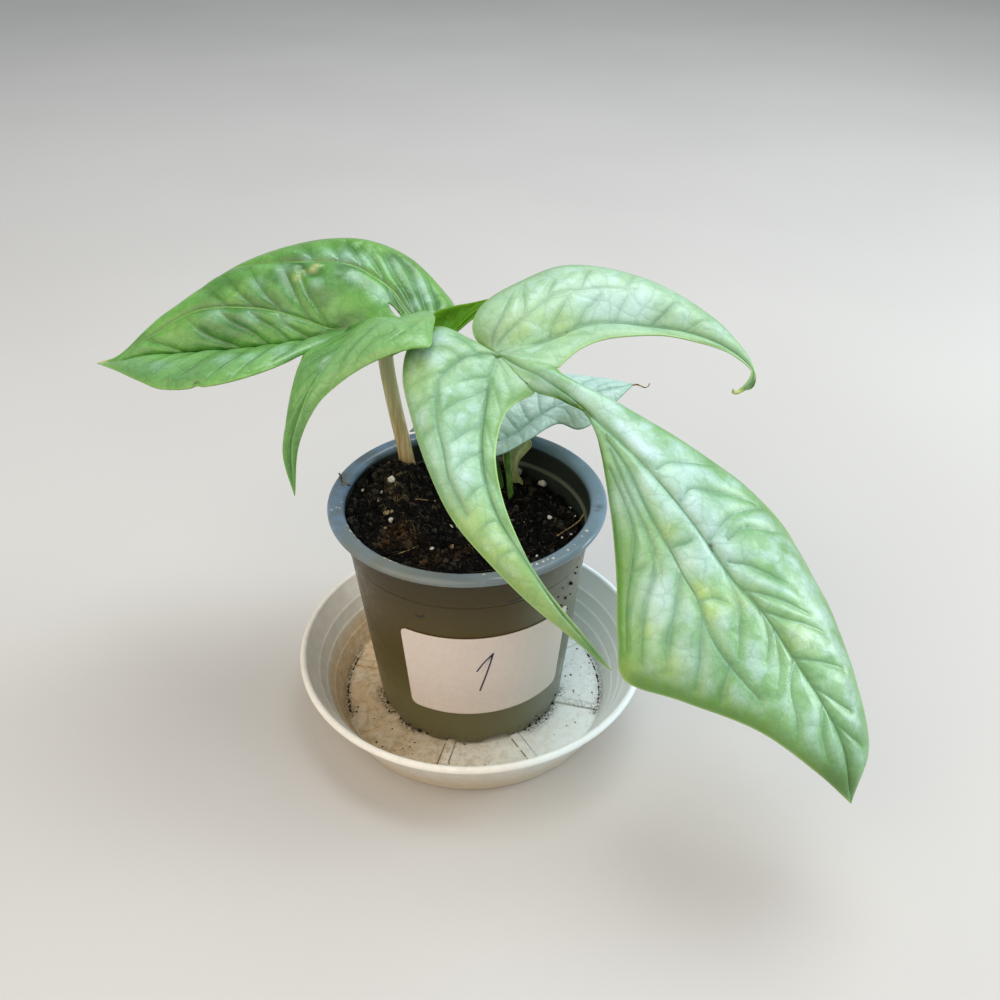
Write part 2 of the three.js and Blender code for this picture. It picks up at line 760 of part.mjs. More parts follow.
const plant = new THREE.Group();
const stalks = [
  { name: 'left_stalk', stalk: LEFT_STALK, grids: leftGrids, material: FINISHES.leftStalk },
  { name: 'right_stalk', stalk: RIGHT_STALK, grids: rightGrids, material: FINISHES.greenStalk },
  { name: 'back_stalk', stalk: BACK_STALK, grids: backGrids, material: FINISHES.greenStalk },
  {
    name: 'young_stalk',
    stalk: YOUNG_STALK,
    grids: youngGrids,
    material: FINISHES.greenStalk,
    growsFrom: LEFT_STALK,
  },
];
const holes = [
  ...stalks.filter(({ growsFrom }) => !growsFrom).map(({ stalk }) => toSolid(stalkGeometry(stalk, GAP))),
  toSolid(sheetGeometry(sheathGrids, BLADE_THICKNESS + 2 * GAP)),
].map((hole) => hole.add(hole.translate(0, 0, -GAP)));

plant.add(named('saucer', saucerGeometry(), FINISHES.saucer));
plant.add(named('pot', potGeometry(), FINISHES.pot));
plant.add(named('label', labelGeometry(), FINISHES.label));
plant.add(named('soil', soilGeometry(holes), FINISHES.soil));
for (const entry of stalks) {
  plant.add(named(entry.name, toGeometry(cutStalk(entry)), entry.material));
}
plant.add(named('left_leaf', leftLeafGeometry(), FINISHES.leftLeaf));
plant.add(named('right_leaf', sheetGeometry(rightGrids, BLADE_THICKNESS), FINISHES.rightLeaf));
plant.add(named('back_leaf', sheetGeometry(backGrids, BLADE_THICKNESS), FINISHES.backLeaf));
plant.add(named('young_leaf', sheetGeometry(youngGrids, BLADE_THICKNESS), FINISHES.youngLeaf));
plant.add(named('sheath', sheetGeometry(sheathGrids, BLADE_THICKNESS), FINISHES.sheath));

export default plant;
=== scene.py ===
# A young aroid with three lobed leaves in a nursery pot, standing on a saucer.
# Shapes are worked out in millimetres and put into meshes in metres.

import math

import bpy
import numpy as np
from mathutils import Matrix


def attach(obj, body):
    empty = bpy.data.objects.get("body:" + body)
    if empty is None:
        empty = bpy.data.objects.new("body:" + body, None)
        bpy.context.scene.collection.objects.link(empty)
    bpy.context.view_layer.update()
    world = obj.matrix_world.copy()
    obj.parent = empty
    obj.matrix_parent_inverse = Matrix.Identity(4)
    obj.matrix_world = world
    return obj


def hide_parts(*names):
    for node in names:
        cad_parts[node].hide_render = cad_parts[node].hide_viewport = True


bl_info = {
    "name": "Potted aroid",
    "version": (1, 0, 0),
    "blender": (4, 5, 0),
    "location": "3D View > Sidebar > Plant",
    "description": "Builds a potted aroid with lobed leaves, its pot, label, soil and saucer",
    "category": "Add Mesh",
}

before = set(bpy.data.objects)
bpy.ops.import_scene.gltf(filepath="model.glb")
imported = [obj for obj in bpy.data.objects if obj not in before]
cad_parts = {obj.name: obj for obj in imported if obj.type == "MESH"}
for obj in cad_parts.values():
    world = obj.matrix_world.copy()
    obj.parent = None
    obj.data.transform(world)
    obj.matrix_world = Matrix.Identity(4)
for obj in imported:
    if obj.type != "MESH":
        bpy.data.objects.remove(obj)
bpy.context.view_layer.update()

MM = 0.001
SEED = 7

# The camera of the photograph, in millimetres, degrees and pixels
CAMERA_PLACE = (0.0, -351.0, 349.6)
CAMERA_PITCH = 34.26
CAMERA_YAW = 2.09
FOCAL_PIXELS = 997.0
PHOTO_PIXELS = 1000.0
# Width of the scene camera's sensor in millimetres, and half the side of the floor in metres
SENSOR_WIDTH = 36.0
FLOOR_REACH = 3.0

# Saucer
SAUCER_RADIUS = 80.0
SAUCER_HEIGHT = 33.0
SAUCER_BASE_RADIUS = 62.0
SAUCER_FLOOR_RADIUS = 61.5
SAUCER_FLOOR = 2.2
SAUCER_STEPS = (12.0, 18.0, 24.0)
SAUCER_STEP_DEPTH = 0.8
SAUCER_WALL = 3.0
# Sections, outwards and upwards: the lip from the saucer's top outer corner, the foot
# from the rim of its underside and the bowl from the rim of its floor
SAUCER_LIP = ((-3.4, -4), (-1.4, -3.4), (0, -2), (-0.3, -0.6), (-1.4, 0), (-2.6, -0.4), (-3.4, -1.8))
SAUCER_FOOT = ((-2.5, 0), (-1.0, 0.05), (0.4, 0.5), (1.3, 1.6))
SAUCER_BOWL = ((1.6, 3), (0.7, 1.2), (-0.2, 0.2), (-1.6, 0))
RIB_COUNT = 8
RIB_FIRST_ANGLE = -16.5
RIB_WIDTH = 4.0
RIB_HEIGHT = 1.0
RIB_REACH = (16.0, 60.0)

# Pot
POT_CENTRE = (-1.0, 5.0)
POT_BASE = 3.5
POT_TOP = 110.0
POT_RIM_RADIUS = 60.0
POT_FOOT_RADIUS = 43.4
POT_SHOULDER_RADIUS = 52.3
POT_STEP = 91.0
POT_STEP_DEPTH = 0.4
POT_LEDGE = 97.0
POT_LEDGE_RADIUS = 52.2
POT_WALL = 1.3
POT_FOOT_WIDTH = 2.0
POT_FLOOR_LIFT = 3.4
# The rolled rim's section, outwards and upwards from the pot's top outer corner
POT_RIM = (
    (-5.9, -4.0), (-2.2, -3.6), (-0.6, -2.9), (0, -1.8), (-0.6, -0.6), (-2.0, 0), (-5.4, -0.2), (-7, -1.4),
    (-7.3, -4),
)
# First angle in degrees, width and height of the notches in the foot
FOOT_NOTCHES = ((-76.0, 13.0, 3.0), (-103.0, 5.0, 2.4), (-122.0, 5.0, 2.4))
NOTCH_REPEATS = 5

# Marks on the pot and its rim, in pixels of the photograph, with radius in millimetres
# and, on the rim, strength
POT_MARKS = (((416, 615.5), (420, 617), (424, 616)), ((507, 601.5), (513, 600), (520, 597)))
POT_SPECKS = (
    (570, 583, 1.0), (565, 598, 0.8), (561, 605, 0.45), (566.6, 609, 0.6), (558, 597, 0.4), (577, 567, 0.5),
    (575, 573, 0.6), (579, 558, 0.5), (564, 619, 0.5), (561, 632, 0.45), (563, 588, 0.3), (570, 594, 0.4),
    (556, 606, 0.3), (566, 577, 0.35), (551, 640, 0.3), (384, 694, 0.5), (387, 703, 0.5), (395, 712, 0.6),
    (401, 718, 0.5), (420, 731, 0.7), (427, 733, 0.5), (530, 727, 0.8), (540, 720, 0.7), (546, 713, 0.6),
    (552, 703, 0.6), (555, 695, 0.5), (536, 716, 0.4), (410, 724, 0.5),
)
RIM_FLECKS = (
    (348, 526, 1.0, 0.9), (353, 531.5, 1.5, 1.0), (357, 535, 1.2, 0.9), (362, 538.5, 1.0, 0.9),
    (387, 556, 1.1, 1.0), (393, 557.5, 1.1, 1.0), (399, 559, 0.9, 0.9), (472, 571, 0.5, 0.8),
    (484, 574, 0.7, 0.7), (488, 573, 0.6, 0.8), (494, 572, 0.7, 0.7), (532, 564.5, 0.6, 0.9),
    (537, 563, 0.7, 1.0), (543, 562, 0.7, 0.9), (548, 560, 0.6, 0.8), (553, 558, 0.8, 0.8),
    (568, 549, 0.7, 0.8), (575, 544, 0.6, 0.8), (582, 536, 0.6, 0.8), (587, 531, 0.8, 1.0),
    (340, 508, 0.6, 0.7), (337, 507, 0.5, 0.7), (342, 502, 0.5, 0.6), (332, 510, 0.6, 0.8),
)
RIM_SMUDGES = ((600, 507, 1.8, 0.6), (459, 573, 0.8, 1.0), (597, 511, 0.9, 0.5))

# Dirt in the saucer: crumbs, their scatter in millimetres, and a path in pixels
SAUCER_GRIME = (
    (190, 0.9, ((359, 650), (352, 664), (348, 678), (347, 690), (348, 702), (352, 713))),
    (140, 0.8, ((592, 652), (599, 664), (602, 680), (601, 696), (596, 712))),
    (60, 0.9, ((380, 690), (385, 702), (393, 713), (404, 723), (416, 731))),
    (70, 0.9, ((527, 730), (539, 723), (549, 712), (556, 698), (559, 688))),
    (90, 7.0, ((578, 655), (585, 675), (580, 700), (560, 722))),
    (40, 6.0, ((372, 720), (400, 742), (450, 754), (500, 752))),
)
# Ribs with dark lines beside them, as paths in pixels with the share of the line
RIB_DARK_LINES = (
    (1.0, ((449, 741), (441, 761))), (1.0, ((516, 734), (528, 757))), (0.5, ((560, 695), (590, 707))),
)

# Soil: heaps as middle, rise and spread, clods as middle and radius, all in millimetres
SOIL_LEVEL = 95.0
SOIL_SLOPE = -0.085
SOIL_RADIUS = 49.2
SOIL_HEAPS = ((-33, 27, 7, 9), (-22, 36, 3, 6), (-28, -8, 3, 7), (6, -20, -3, 10), (17, 30, 2, 7))
LOOSE_HEAPS = ((-46, 12, 3.5, 9), (-36, 38, 3.0, 8), (-44, -12, 2.5, 8))
CLODS = (
    (-38, 28, 5.5), (-29, 27, 6.5), (-33, 20, 5), (-23, 31, 4.5), (-34, 35, 4), (-27, -4, 5),
    (-18, -12, 3.5), (27, 18, 4),
)
# Fine lumps: rise, size and seed
SOIL_GRAIN = ((1.8, 4.1, 3), (1.2, 1.9, 4), (0.7, 0.9, 5))
# White grains and bits of bark, in pixels of the photograph, with radius in millimetres
WHITE_GRAINS = (
    (383.5, 471, 1.6), (391, 480.5, 1.5), (361.5, 472.5, 0.8), (354.5, 484, 0.8), (381.5, 493, 0.8),
    (391.5, 521.5, 1.4), (431.5, 549, 0.9), (515.5, 463, 1.5), (547.5, 478.5, 1.7), (550, 518.5, 1.2),
    (583.5, 496.5, 0.8), (581.5, 516, 0.6), (452, 527, 0.9), (456.5, 527.5, 0.8), (537, 557.5, 1.0),
    (562, 538, 0.6), (571, 534.5, 0.6), (378, 501, 0.6),
)
TAN_BITS = (
    (386, 513, 1.5), (391, 512, 1.2), (452, 547, 0.9), (470, 545, 0.8), (385, 528, 0.8), (421, 563, 1.0),
)
# Browner places in the soil, with radius in millimetres and share
BROWN_PLACES = (
    (402, 533, 5.5, 1.0), (392, 541, 4, 0.8), (412, 545, 4, 0.8), (425, 562, 4, 0.6), (460, 556, 4, 0.6),
    (441, 558, 4, 0.5), (378, 545, 3.5, 0.6), (470, 546, 3, 0.8),
)
# Larger grey-brown lumps, in pixels, with radius in millimetres
LARGE_LUMPS = (
    (527, 481, 2.3), (532, 491, 2.1), (404, 536, 2.6), (408, 545, 2.0), (364, 482, 1.8), (376, 476, 1.7),
)
# Loose crumbs heaped on the ledge along the left wall: count, first and last angle, radii and rise
BANK = (1100, 118.0, 262.0, 46.5, 51.2, 6.5)
# The clod at the tan stalk's foot: pixel of its middle, reach in millimetres, and what it
# adds to the number of fibres and to the crumbs' tone
CLOD_PIXEL = (390, 488)
CLOD_REACH = 8.0
CLOD_FIBRES = 170
CLOD_TONE = 0.5
# Twigs on the soil, as paths in pixels of the photograph
TWIGS = (
    ((415, 500), (425, 501), (436, 502)),
    ((508, 522), (514, 521), (525, 523)),
    ((398, 555), (408, 551), (418, 547)),
    ((385, 455), (387, 450), (390, 446)),
)
# A twig that leans on the pot's wall at the right, with its heights in millimetres
LEANING_TWIG = ((557, 536, 92.6), (563, 532, 93.4), (571, 527, 94.6), (579, 521, 96.2), (584, 514, 98.0))
# A strand that lies over the rim at the left
RIM_TWIG = ((339, 473.5), (341, 478), (342, 482), (345, 484), (350, 486))

# Label
LABEL_SIZE = (75.0, 48.0)
LABEL_BOTTOM = 25.0
LABEL_MIDDLE_ANGLE = -80.0
LABEL_THICKNESS = 0.4
LABEL_GAP = 0.3
LABEL_CORNER = 3.0
# Pen stroke on the label, in pixels of the photograph, and the point where it turns
NUMERAL_STROKE = ((476.5, 671), (484, 662), (493, 653.5), (490, 663), (485, 676), (480, 690))
NUMERAL_TURN = 2

# Leaves: every half blade is ruled from its vein to its margin, point by point
BLADE_THICKNESS = 0.8
# Splits from one given point to the next, and from the vein to the margin
LEFT_STEPS = 14
MIDDLE_STEPS = 17
SIDE_STEPS = 12
BLADE_COLUMNS = {
    "far": 60, "near": 44, "flap": 40, "finger": 14, "middle_inner": 76, "middle_outer": 66,
    "near_outer": 34, "near_inner": 16, "far_outer": 34, "far_inner": 18,
}
SMALL_COLUMNS = 30
CROWN_FADE = 0.3

LEFT_LEAF = {
    "far": {
        "side": "right", "crown": (0, -5, 6),
        "vein": (
            (-20, 38, 176), (-24, 38, 175), (-28, 38, 174), (-35, 38, 173), (-45, 38, 173), (-57, 38, 171),
            (-70, 38, 167), (-86, 38, 165), (-103, 39, 163), (-120, 39, 162), (-135, 39, 161),
            (-148, 39, 158), (-158, 40, 158),
        ),
        "margin": (
            (-20, 38, 176), (-12, 46, 174), (-5, 57, 173), (-10, 66, 178), (-24, 76, 189), (-42, 80, 196),
            (-61, 80, 197), (-81, 77, 194), (-100, 73, 188), (-120, 64, 178), (-137, 54, 168),
            (-149, 44, 160), (-158, 40, 158),
        ),
    },
    "near": {
        "side": "left", "crown": (0, -1, 4), "fade": True,
        "margin": (
            (-67, 24, 170), (-71, 18, 169), (-78, 10, 169), (-92, 4, 167), (-105, 3, 165), (-121, 7, 162),
            (-133, 15, 162), (-148, 30, 160), (-158, 40, 158),
        ),
    },
    "finger_vein": (
        (-45, 38, 173), (-50, 24, 173), (-54, 11, 172), (-59, 2, 168), (-64, -4, 161), (-70, -9, 145),
        (-71, -13, 123),
    ),
    "flap": {
        "side": "left", "crown": (0, -1, 8),
        "margin": (
            (-20, 38, 176), (-13, 25, 184), (-13, 10, 185), (-14, -3, 184), (-21, -5, 184), (-29, -6, 182),
            (-39, -5, 177), (-50, -4, 169), (-60, -5, 159), (-68, -8, 143), (-71, -13, 123),
        ),
    },
    "finger": {
        "side": "right", "crown": (-1, -1, 2), "fade": True,
        "margin": (
            (-67, 24, 170), (-67, 19, 169), (-68, 10, 168), (-70, 2, 162), (-72, -5, 153), (-74, -10, 140),
            (-71, -13, 123),
        ),
    },
}
# The given point at which the finger leaves the left leaf's vein
LEFT_FORK = 4
LEFT_HOLE = {
    "at": (-30, 43, 178), "radius": 2.8, "squeeze": 0.55, "stretch": 1.2, "shear": 0.7, "lean": 35.0,
}

RIGHT_LEAF = {
    "middle_vein": (
        (12, 8, 175), (20, 3, 172), (30, -5, 170), (45, -16, 162), (64, -35, 151), (81, -52, 136),
        (95, -67, 120), (105, -80, 113), (114, -90, 102), (123, -101, 91), (131, -112, 77), (134, -122, 59),
    ),
    "near_vein": (
        (12, 8, 175), (11, 4, 172), (9, -2, 169), (7, -10, 163), (5, -22, 157), (5, -33, 150),
        (7, -44, 143), (12, -54, 135), (20, -65, 127), (29, -75, 117), (39, -82, 106), (50, -89, 95),
    ),
    "far_vein": (
        (12, 8, 175), (16, 10, 174), (23, 14, 174), (35, 20, 175), (47, 25, 178), (60, 28, 178),
        (75, 28, 176), (89, 26, 175), (102, 22, 172), (112, 18, 167), (117.3, 14, 162), (116.4, 12, 157.2),
        (111, 10, 155),
    ),
    "middle_inner": {
        "side": "right", "crown": (-2, -4, 6), "fade": True,
        "margin": (
            (28, -6, 164), (32, -8, 164), (38, -11, 163), (48, -20, 158), (53, -42, 135), (54, -62, 117),
            (53, -80, 102), (55, -91, 92), (74, -101, 91), (99, -111, 86), (120, -118, 72), (134, -122, 59),
        ),
    },
    "middle_outer": {
        "side": "left", "crown": (1, -3, 5), "fade": True,
        "margin": (
            (36.2, -0.2, 171.9), (36.8, -2.2, 171.1), (41.7, -5.9, 169.5), (60, -11, 161), (85, -17, 147),
            (106, -24, 134), (122, -34, 121), (130, -47, 110), (138, -65, 97), (142, -83, 86),
            (144, -104, 69), (134, -122, 59),
        ),
    },
    "near_outer": {
        "side": "right", "crown": (-3, -3, 5),
        "margin": (
            (12, 8, 175), (0, 17, 178), (-11, 19, 182), (-22, 10, 179), (-25, -3, 172), (-22, -17, 162),
            (-16, -34, 150), (-7, -50, 137), (6, -64, 127), (21, -74, 115), (36, -82, 105), (50, -89, 95),
        ),
    },
    "near_inner": {
        "side": "left", "crown": (1, -1, 2), "fade": True,
        "margin": (
            (28, -6, 164), (23, -8, 164), (18, -12, 163), (14, -17, 161), (11, -25, 156), (10, -35, 151),
            (12, -45, 142), (16, -55, 134), (23, -66, 123), (31, -76, 116), (41, -82, 105), (50, -89, 95),
        ),
    },
    "far_outer": {
        "side": "left", "crown": (-1, -2, 6),
        "margin": (
            (12, 8, 175), (4, 16, 177), (3, 27, 181), (9, 38, 185), (23, 50, 188), (41, 57, 192),
            (61, 56, 191), (83, 49, 186), (103, 37, 177), (113, 24, 170), (118.3, 15, 163),
            (118, 12, 156.2), (111, 10, 155),
        ),
    },
    "far_inner": {
        "side": "right", "crown": (0, -1, 2), "fade": True,
        "margin": (
            (36.2, -0.2, 171.9), (36.9, 1.6, 172.7), (40.5, 5.1, 174.3), (46, 10, 176), (55, 15, 177),
            (67, 18, 177), (81, 20, 176), (94, 20, 173), (105, 18, 170), (111.5, 16, 167),
            (116.6, 14, 162.6), (114.8, 12, 158.4), (111, 10, 155),
        ),
    },
}
RIGHT_HALVES = ("middle_inner", "middle_outer", "near_outer", "near_inner", "far_outer", "far_inner")

BACK_LEAF = {
    "vein": ((17, 33, 118), (25, 38, 122), (33, 43, 127), (44, 48, 131), (61, 54, 133), (77, 58, 134)),
    "near": {
        "side": "right", "crown": (0, -1, 3),
        "margin": (
            (-6, 18, 120), (12, 20, 120), (25, 28, 122), (40, 40, 124), (53, 38, 123), (77, 58, 134),
        ),
    },
    "far": {
        "side": "left", "crown": (0, -1, 4),
        "margin": (
            (-27, 46, 118), (-13, 62, 125), (15, 74, 129), (40, 76, 131), (63, 69, 132), (77, 58, 134),
        ),
    },
}

# A dry thread that goes on from the back leaf's tip, and the far lobe's rolled end
BACK_THREAD = (
    (76, 57.6, 133.8), (78.5, 58.6, 133.6), (80.5, 59, 132.6), (82.5, 59.2, 131.6), (84, 59.4, 132.2),
    (84.6, 59.6, 133.6),
)
ROLLED_TIP = (
    (113.4, 10.9, 155.7), (111.4, 10.2, 154.8), (110, 9.9, 154.7), (109.2, 9.8, 155.4), (109.3, 9.8, 156.4),
)

YOUNG_LEAF = {
    "vein": ((-17, 32, 170), (-11, 34, 171), (-4, 38, 173), (3, 44, 177), (12, 50, 180), (23, 57, 180)),
    "upper": {
        "side": "left", "crown": (0, 2, -2),
        "margin": (
            (-17, 32, 170), (-14, 40, 178), (-6, 46, 179), (3, 50, 179), (15, 54, 180), (23, 57, 180),
        ),
    },
    "lower": {
        "side": "right", "crown": (0, 2, -2),
        "margin": (
            (-17, 32, 170), (-11, 26, 171), (-4, 32, 174), (3, 38, 177), (13, 46, 179), (23, 57, 180),
        ),
    },
}

SHEATH = {
    "vein": (
        (19, 36, 84), (20, 37, 93), (20, 38, 99), (21, 39, 105), (22, 40, 109), (25, 42, 112),
        (28, 44, 114),
    ),
    "right": {
        "side": "right", "crown": (0, 1, 0),
        "margin": (
            (22, 37, 84), (25, 38, 93), (23, 39, 98), (23, 40, 104), (26, 41, 108), (29, 43, 111),
            (28, 44, 114),
        ),
    },
    "left": {
        "side": "left", "crown": (0, 1, 0),
        "margin": (
            (16, 37, 84), (17, 38, 93), (17, 39, 98), (16, 40, 104), (16, 41, 109), (21, 43, 113),
            (28, 44, 114),
        ),
    },
}

# Veins seen on the blades: for each half the paths in pixels of the photograph, with a
# strength of 1 for a leading vein and less for a side vein
LEFT_LEAF_VEINS = {
    "far": (
        (1.0, ((356, 329), (332, 329), (302, 319), (270, 311), (242, 307), (218, 307), (198, 311),
               (180, 319), (158, 333), (136, 347), (118, 362))),
        (0.9, ((411, 315), (402, 303), (393, 291), (375, 277), (351, 266), (326, 262), (290, 262),
               (250, 266), (228, 272), (205, 286))),
        (0.6, ((186, 353), (156, 343), (146, 339))),
        (0.8, ((240, 347), (220, 340), (202, 331), (184, 319))),
        (0.8, ((270, 344), (250, 331), (234, 323), (220, 312))),
        (0.7, ((290, 342), (276, 329), (260, 319), (246, 308))),
        (0.7, ((312, 339), (302, 334), (288, 325), (278, 313))),
        (0.6, ((228, 307), (218, 299), (206, 291))),
        (0.7, ((256, 308), (244, 299), (234, 287), (226, 278))),
        (0.8, ((286, 315), (270, 299), (258, 285), (248, 268))),
        (0.8, ((312, 321), (300, 305), (290, 283), (282, 264))),
        (0.6, ((328, 328), (317, 309), (306, 291), (299, 268))),
        (0.8, ((402, 313), (396, 305), (386, 285), (374, 265), (358, 247))),
        (0.8, ((414, 313), (406, 297), (394, 275), (378, 251))),
        (0.8, ((426, 313), (418, 291), (406, 267), (394, 252))),
        (0.8, ((438, 311), (434, 295), (424, 273), (414, 262))),
        (0.5, ((340, 264), (336, 255), (328, 242))),
        (0.5, ((364, 273), (356, 257), (344, 243))),
        (0.5, ((313, 262), (307, 252), (300, 246))),
        (0.5, ((280, 263), (272, 256), (262, 252))),
        (0.8, ((300, 262), (302, 268), (308, 276), (318, 276), (326, 270))),
    ),
    "near": (
        (0.7, ((230, 350), (210, 357), (194, 367), (180, 377))),
        (0.6, ((202, 353), (186, 357), (170, 363), (156, 375))),
        (0.7, ((256, 348), (238, 357), (218, 369), (206, 382))),
        (0.7, ((280, 345), (266, 353), (250, 363), (232, 378))),
        (0.6, ((305, 341), (290, 350), (272, 362))),
        (0.5, ((174, 355), (160, 360), (142, 368))),
    ),
    "flap": (
        (0.5, ((372, 330), (350, 352), (338, 372), (331, 400))),
        (0.4, ((395, 330), (366, 350), (350, 372))),
        (0.4, ((415, 325), (400, 335), (385, 345))),
    ),
}

RIGHT_LEAF_VEINS = {
    "far_outer": (
        (0.7, ((495, 352), (503, 339), (515, 327), (535, 309), (555, 296), (575, 290), (605, 288),
               (635, 291))),
        (0.8, ((491, 349), (493, 335), (501, 319), (506, 305), (513, 293))),
        (0.6, ((523, 320), (525, 307), (522, 296), (525, 285))),
        (0.6, ((535, 309), (545, 301), (549, 291), (554, 281))),
        (0.6, ((581, 289), (585, 277), (590, 270))),
        (0.5, ((625, 290), (632, 280), (636, 274))),
        (0.6, ((575, 329), (585, 313), (595, 301), (606, 290))),
        (0.6, ((549, 338), (553, 322), (562, 306), (572, 292))),
        (0.8, ((651, 325), (663, 313), (675, 305), (683, 305))),
        (0.5, ((615, 324), (622, 308), (632, 293))),
        (0.5, ((690, 330), (702, 322), (711, 321))),
    ),
    "near_outer": (
        (1.0, ((495, 355), (475, 355), (459, 361), (445, 373), (438, 387), (436, 403), (438, 425),
               (443, 451), (450, 480), (466, 515))),
        (0.7, ((489, 391), (465, 399), (451, 405), (438, 417))),
        (0.7, ((482, 424), (464, 434), (448, 446))),
        (0.7, ((483, 452), (466, 462), (450, 478))),
        (0.6, ((488, 484), (474, 492), (462, 506))),
        (0.6, ((498, 520), (486, 526), (478, 538))),
        (0.5, ((514, 552), (503, 558), (498, 566))),
        (0.6, ((445, 373), (425, 379), (407, 390))),
        (0.5, ((438, 395), (424, 402), (412, 412))),
        (0.5, ((438, 425), (428, 432), (420, 440))),
        (0.5, ((459, 361), (448, 350), (430, 348))),
        (0.5, ((478, 355), (466, 343), (450, 336))),
        (0.6, ((497, 375), (484, 377), (472, 380), (460, 384))),
    ),
    "middle_inner": (
        (1.0, ((607, 440), (624, 464), (640, 493), (653, 520), (671, 551), (684, 576), (696, 598),
               (704, 622), (716, 644), (730, 666), (760, 700))),
        (0.8, ((610, 450), (618, 470), (627, 492), (640, 518), (652, 545), (660, 572))),
        (0.7, ((611, 470), (624, 500), (632, 530), (633, 560), (628, 600), (626, 650))),
        (0.8, ((655, 551), (655, 578), (646, 604), (642, 634), (642, 662))),
        (0.8, ((680, 575), (676, 604), (669, 640), (668, 672))),
        (0.8, ((702, 618), (701, 650), (697, 690))),
        (0.7, ((729, 664), (722, 690), (722, 704))),
        (0.8, ((729, 569), (736, 600), (738, 630), (739, 658))),
        (0.8, ((760, 611), (768, 640), (766, 664))),
        (0.7, ((793, 658), (790, 690), (797, 720), (796, 742))),
        (0.7, ((773, 631), (779, 665), (776, 700))),
        (0.6, ((822, 707), (822, 735), (826, 760))),
        (0.6, ((672, 549), (684, 545), (696, 540))),
        (0.6, ((696, 603), (712, 601), (728, 604))),
        (0.6, ((628, 572), (640, 571), (652, 560))),
    ),
    "middle_outer": (
        (0.7, ((656, 470), (668, 465), (684, 464), (704, 467), (722, 470))),
        (0.7, ((680, 500), (690, 490), (711, 493), (733, 498), (751, 504))),
        (0.7, ((712, 541), (728, 519), (745, 510), (768, 511))),
        (0.7, ((727, 540), (745, 529), (770, 532), (790, 538))),
        (0.8, ((727, 562), (749, 567), (773, 578), (795, 592))),
        (0.7, ((742, 590), (765, 596), (788, 604), (808, 616))),
        (0.7, ((762, 612), (782, 618), (806, 626), (822, 634))),
        (0.8, ((793, 658), (816, 662), (840, 670))),
        (0.6, ((812, 688), (832, 700), (848, 712))),
        (0.6, ((832, 722), (846, 734), (858, 744))),
    ),
}
# Side veins by rule: number, how far they run towards the tip, strength
LEFT_RULES = {"finger": (5, 0.2, 0.4)}
RIGHT_RULES = {"near_inner": (6, 0.12, 0.3), "far_inner": (4, 0.1, 0.2)}
# The small leaves: slot, blade, halves, side veins by rule, swell
SMALL_LEAVES = {
    "back_leaf": ("blue_leaf", BACK_LEAF, ("near", "far"), (7, 0.22, 0.5), 0.45),
    "young_leaf": ("olive_leaf", YOUNG_LEAF, ("upper", "lower"), (6, 0.2, 0.5), 0.4),
    "sheath": ("pale_sheath", SHEATH, ("right", "left"), (2, 0.4, 0.4), 0.2),
}

# Patches of another tone, in pixels of the photograph: place, radius in millimetres, strength
PALE_PATCHES = (
    (618, 425, 2.5, 0.5), (625, 431, 2.5, 0.7), (631, 438, 2.5, 0.6), (638, 444, 3, 0.5),
    (647, 449, 3, 0.8), (655, 454, 3, 0.7), (660, 480, 9, 0.5), (690, 505, 8, 0.8), (712, 535, 7, 0.7),
    (730, 560, 7, 0.5), (700, 560, 5, 0.6), (640, 305, 10, 0.5), (590, 300, 9, 0.5), (620, 310, 8, 0.4),
    (470, 395, 8, 0.2), (455, 440, 9, 0.3), (462, 475, 9, 0.3), (690, 470, 6, 0.6), (680, 560, 5, 0.5),
    (657, 590, 6, 0.6), (625, 500, 8, 0.4), (665, 610, 8, 0.4), (695, 660, 7, 0.4), (583, 395, 5, 0.5),
    (608, 410, 6, 0.6), (546, 384, 5, 0.45), (635, 432, 6, 0.4),
)
YELLOW_PATCHES = (
    (686, 563, 4, 0.9), (702, 592, 4, 0.9), (712, 612, 4, 0.7), (668, 530, 5, 0.5), (650, 630, 4, 0.6),
    (673, 665, 4, 0.5), (520, 320, 8, 0.3), (560, 325, 8, 0.4), (490, 335, 7, 0.4), (420, 372, 8, 0.4),
    (470, 520, 8, 0.5), (500, 550, 9, 0.6), (525, 585, 8, 0.6), (550, 610, 7, 0.7), (575, 635, 6, 0.7),
    (800, 640, 8, 0.5), (515, 335, 7, 0.3), (625, 670, 5, 0.5), (736, 600, 5, 0.4),
)
# How strongly and how far, in millimetres, the margin's tone reaches into each half
LIME_MARGINS = {
    "near_inner": (0.7, 8.0), "near_outer": (0.6, 7.0), "middle_inner": (0.95, 20.0),
    "middle_outer": (0.9, 13.0), "far_inner": (0.45, 4.0), "far_outer": (0.5, 7.0), "far": (0.7, 9.0),
    "near": (0.4, 5.0), "flap": (0.4, 6.0), "finger": (0.4, 4.0),
}
# How much the skin swells between the veins of a half, and its share of the second tone
HALF_PUFFS = {
    "flap": 0.3, "finger": 0.4, "near": 0.5, "near_inner": 0.3, "far_inner": 0.2, "near_outer": 0.5,
    "far_outer": 0.3,
}
HALF_TONES = {
    "flap": 0.85, "near": 0.4, "finger": 0.4, "far_outer": 0.6, "far_inner": 0.4, "near_outer": 0.1,
}
LEFT_SWELL = 1.9
RIGHT_SWELL = 1.4
CREASE = 0.6
VEIN_FADE = 3.5
PUFF_REACH = 2.6
GROOVE_WIDTH = 0.9
# The margin's strip that stays flat, and how far and how often a shared ruling is softened
FLAT_MARGIN = 3.0
SOFT_REACH = 7.0
SOFT_PASSES = 60
# A vein stronger than this counts as leading
LEADING = 0.85
